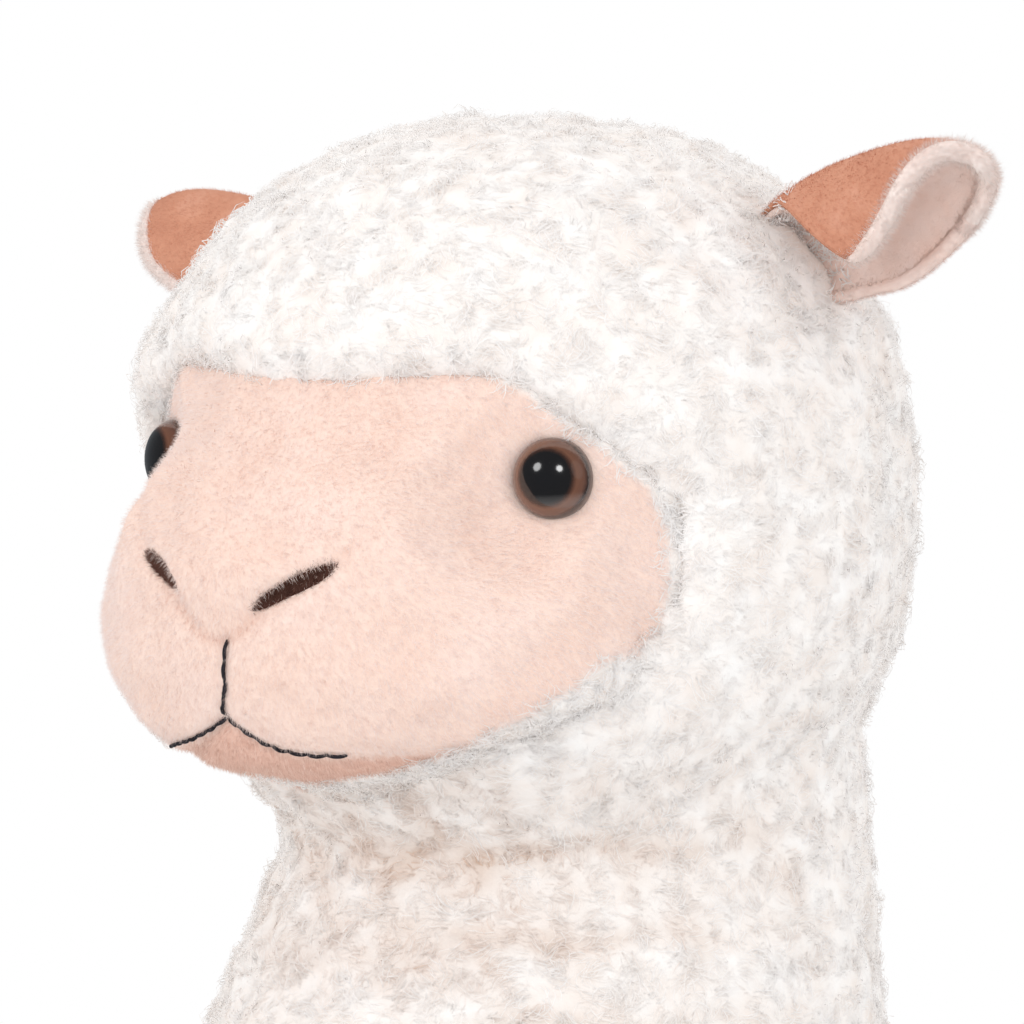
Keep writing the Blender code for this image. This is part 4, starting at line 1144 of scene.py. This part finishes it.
def eye_dome(side, sign, finish):
    """A dome with a narrow lip, pressed into the pile."""
    profile = []
    for step in range(17):
        turn = math.pi / 2 * step / 16
        profile.append((EYE_RADIUS * math.sin(turn), EYE_LIP + (EYE_DOME - EYE_LIP) * math.cos(turn)))
    profile.append((EYE_RADIUS * 1.01, EYE_LIP * 0.5))
    profile.append((EYE_RADIUS * 0.98, -0.6 * MM))
    around = 64
    verts, faces = [(0, 0, profile[0][1])], []
    for radius, height in profile[1:]:
        for k in range(around):
            turn = 2 * math.pi * k / around
            verts.append((radius * math.cos(turn), radius * math.sin(turn), height))
    for k in range(around):
        faces.append((0, 1 + k, 1 + (k + 1) % around))
    faces += [(a, d, c, b) for a, b, c, d in bands(len(profile) - 1, around, 1)]
    faces.append([1 + (len(profile) - 2) * around + k for k in reversed(range(around))])
    dome = mesh_object("eye_dome_" + side, verts, faces, finish)
    place = Matrix.Translation((HEAD[0] + sign * EYE_PLACE[0], HEAD[1] + EYE_PLACE[1], EYE_LEVEL))
    turned = Matrix.Rotation(sign * EYE_TURN, 4, "Z")
    dome.matrix_world = place @ turned @ Matrix.Rotation(math.radians(90) - EYE_TILT, 4, "X")
    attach(dome, "root")
    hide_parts("eye_" + side)


EYE = eye_material()
for side, sign in SIDES:
    eye_dome(side, sign, EYE)

# Washers stay as they are packed, inside the head
WASHER, washer_tree, washer_shader = new_material("washer_plastic")
washer_greys = stops([(222, 222, 220), (236, 236, 234)], 0.3, 0.7)
washer_tree.links.new(ramp(washer_tree, noise(washer_tree, 300), washer_greys),
                      washer_shader.inputs["Base Color"])
for side, _ in SIDES:
    washer = NODES["eye_washer_" + side]
    washer.data.materials.clear()
    washer.data.materials.append(WASHER)


# Floor, light and camera
def floor_material():
    """Pale floor that turns clear towards its rim."""
    made, tree, shader = new_material("floor")
    where = node(tree, "ShaderNodeTexCoord")
    far = node(tree, "ShaderNodeVectorMath", {0: where.outputs["Object"]}, operation="LENGTH")
    fade = ramp(tree, far.outputs["Value"], [(0.45, (0, 0, 0, 1)), (0.88, (1, 1, 1, 1))])
    clear = node(tree, "ShaderNodeBsdfTransparent")
    mixed = mixed_shader(tree, fade, shader.outputs["BSDF"], clear.outputs["BSDF"])
    tree.links.new(mixed, tree.nodes["Material Output"].inputs["Surface"])
    shader.inputs["Base Color"].default_value = (0.93, 0.93, 0.93, 1)
    shader.inputs["Roughness"].default_value = 0.9
    return made


def studio_world():
    """Even pale light all round, white to the camera and dim in what shines."""
    world = bpy.data.worlds.new("studio")
    bpy.context.scene.world = world
    world.use_nodes = True
    tree = world.node_tree
    path = node(tree, "ShaderNodeLightPath")
    even = tree.nodes["Background"]
    even.inputs["Color"].default_value = (1.0, 0.993, 0.988, 1)
    even.inputs["Strength"].default_value = 0.92
    seen = node(tree, "ShaderNodeBackground", {"Color": (1, 1, 1, 1), "Strength": 1.0})
    dim = node(tree, "ShaderNodeBackground", {"Color": (0.86, 0.93, 1, 1), "Strength": 0.16})
    shiny = mixed_shader(tree, path.outputs["Is Glossy Ray"], even.outputs["Background"],
                         dim.outputs["Background"])
    both = mixed_shader(tree, path.outputs["Is Camera Ray"], shiny, seen.outputs["Background"])
    tree.links.new(both, tree.nodes["World Output"].inputs["Surface"])


def direction(azimuth, elevation):
    """The way to a place round the toy and above level, in degrees, with 0 at the front."""
    a, e = math.radians(azimuth), math.radians(elevation)
    return Vector((math.sin(a) * math.cos(e), -math.cos(a) * math.cos(e), math.sin(e)))


def area_light(name, azimuth, elevation, distance, size, power):
    way = direction(azimuth, elevation)
    data = bpy.data.lights.new(name, "AREA")
    data.shape = "DISK"
    data.size = size
    data.energy = power
    made = bpy.data.objects.new(name, data)
    made.location = LIGHTS_AIM + way * distance
    made.rotation_mode = "QUATERNION"
    made.rotation_quaternion = way.to_track_quat("Z", "Y")
    bpy.context.scene.collection.objects.link(made)


def photo_camera():
    """The camera where the photograph was taken from."""
    out = direction(CAMERA_AZIMUTH, CAMERA_ELEVATION)
    right = direction(CAMERA_AZIMUTH + 90, 0)
    target = Vector(HEAD) - right * CAMERA_AIM[0] - out.cross(right) * CAMERA_AIM[1]
    lens = bpy.data.cameras.new("camera")
    lens.sensor_width = 36
    lens.lens = 36 * CAMERA_DISTANCE / VIEW_WIDTH
    camera = bpy.data.objects.new("camera", lens)
    camera.location = target + out * CAMERA_DISTANCE
    camera.rotation_mode = "QUATERNION"
    camera.rotation_quaternion = (-out).to_track_quat("-Z", "Y")
    bpy.context.scene.collection.objects.link(camera)
    bpy.context.scene.camera = camera


turn = np.arange(72) * 2 * math.pi / 72
rim = np.stack([FLOOR_RADIUS * np.cos(turn), FLOOR_RADIUS * np.sin(turn), 0 * turn], -1)
floor = mesh_object("floor", rim, [list(range(72))], floor_material(), smooth=False)
studio_world()
area_light("key_softbox", -10, 26, 1.9, 0.50, 3.4)
area_light("side_softbox", 38, 26, 2.1, 0.45, 4.6)
area_light("right_softbox", 88, 24, 2.1, 1.5, 1.4)
area_light("back_softbox", 205, 40, 2.1, 1.0, 4)
photo_camera()
bpy.context.scene.view_settings.view_transform = "Standard"
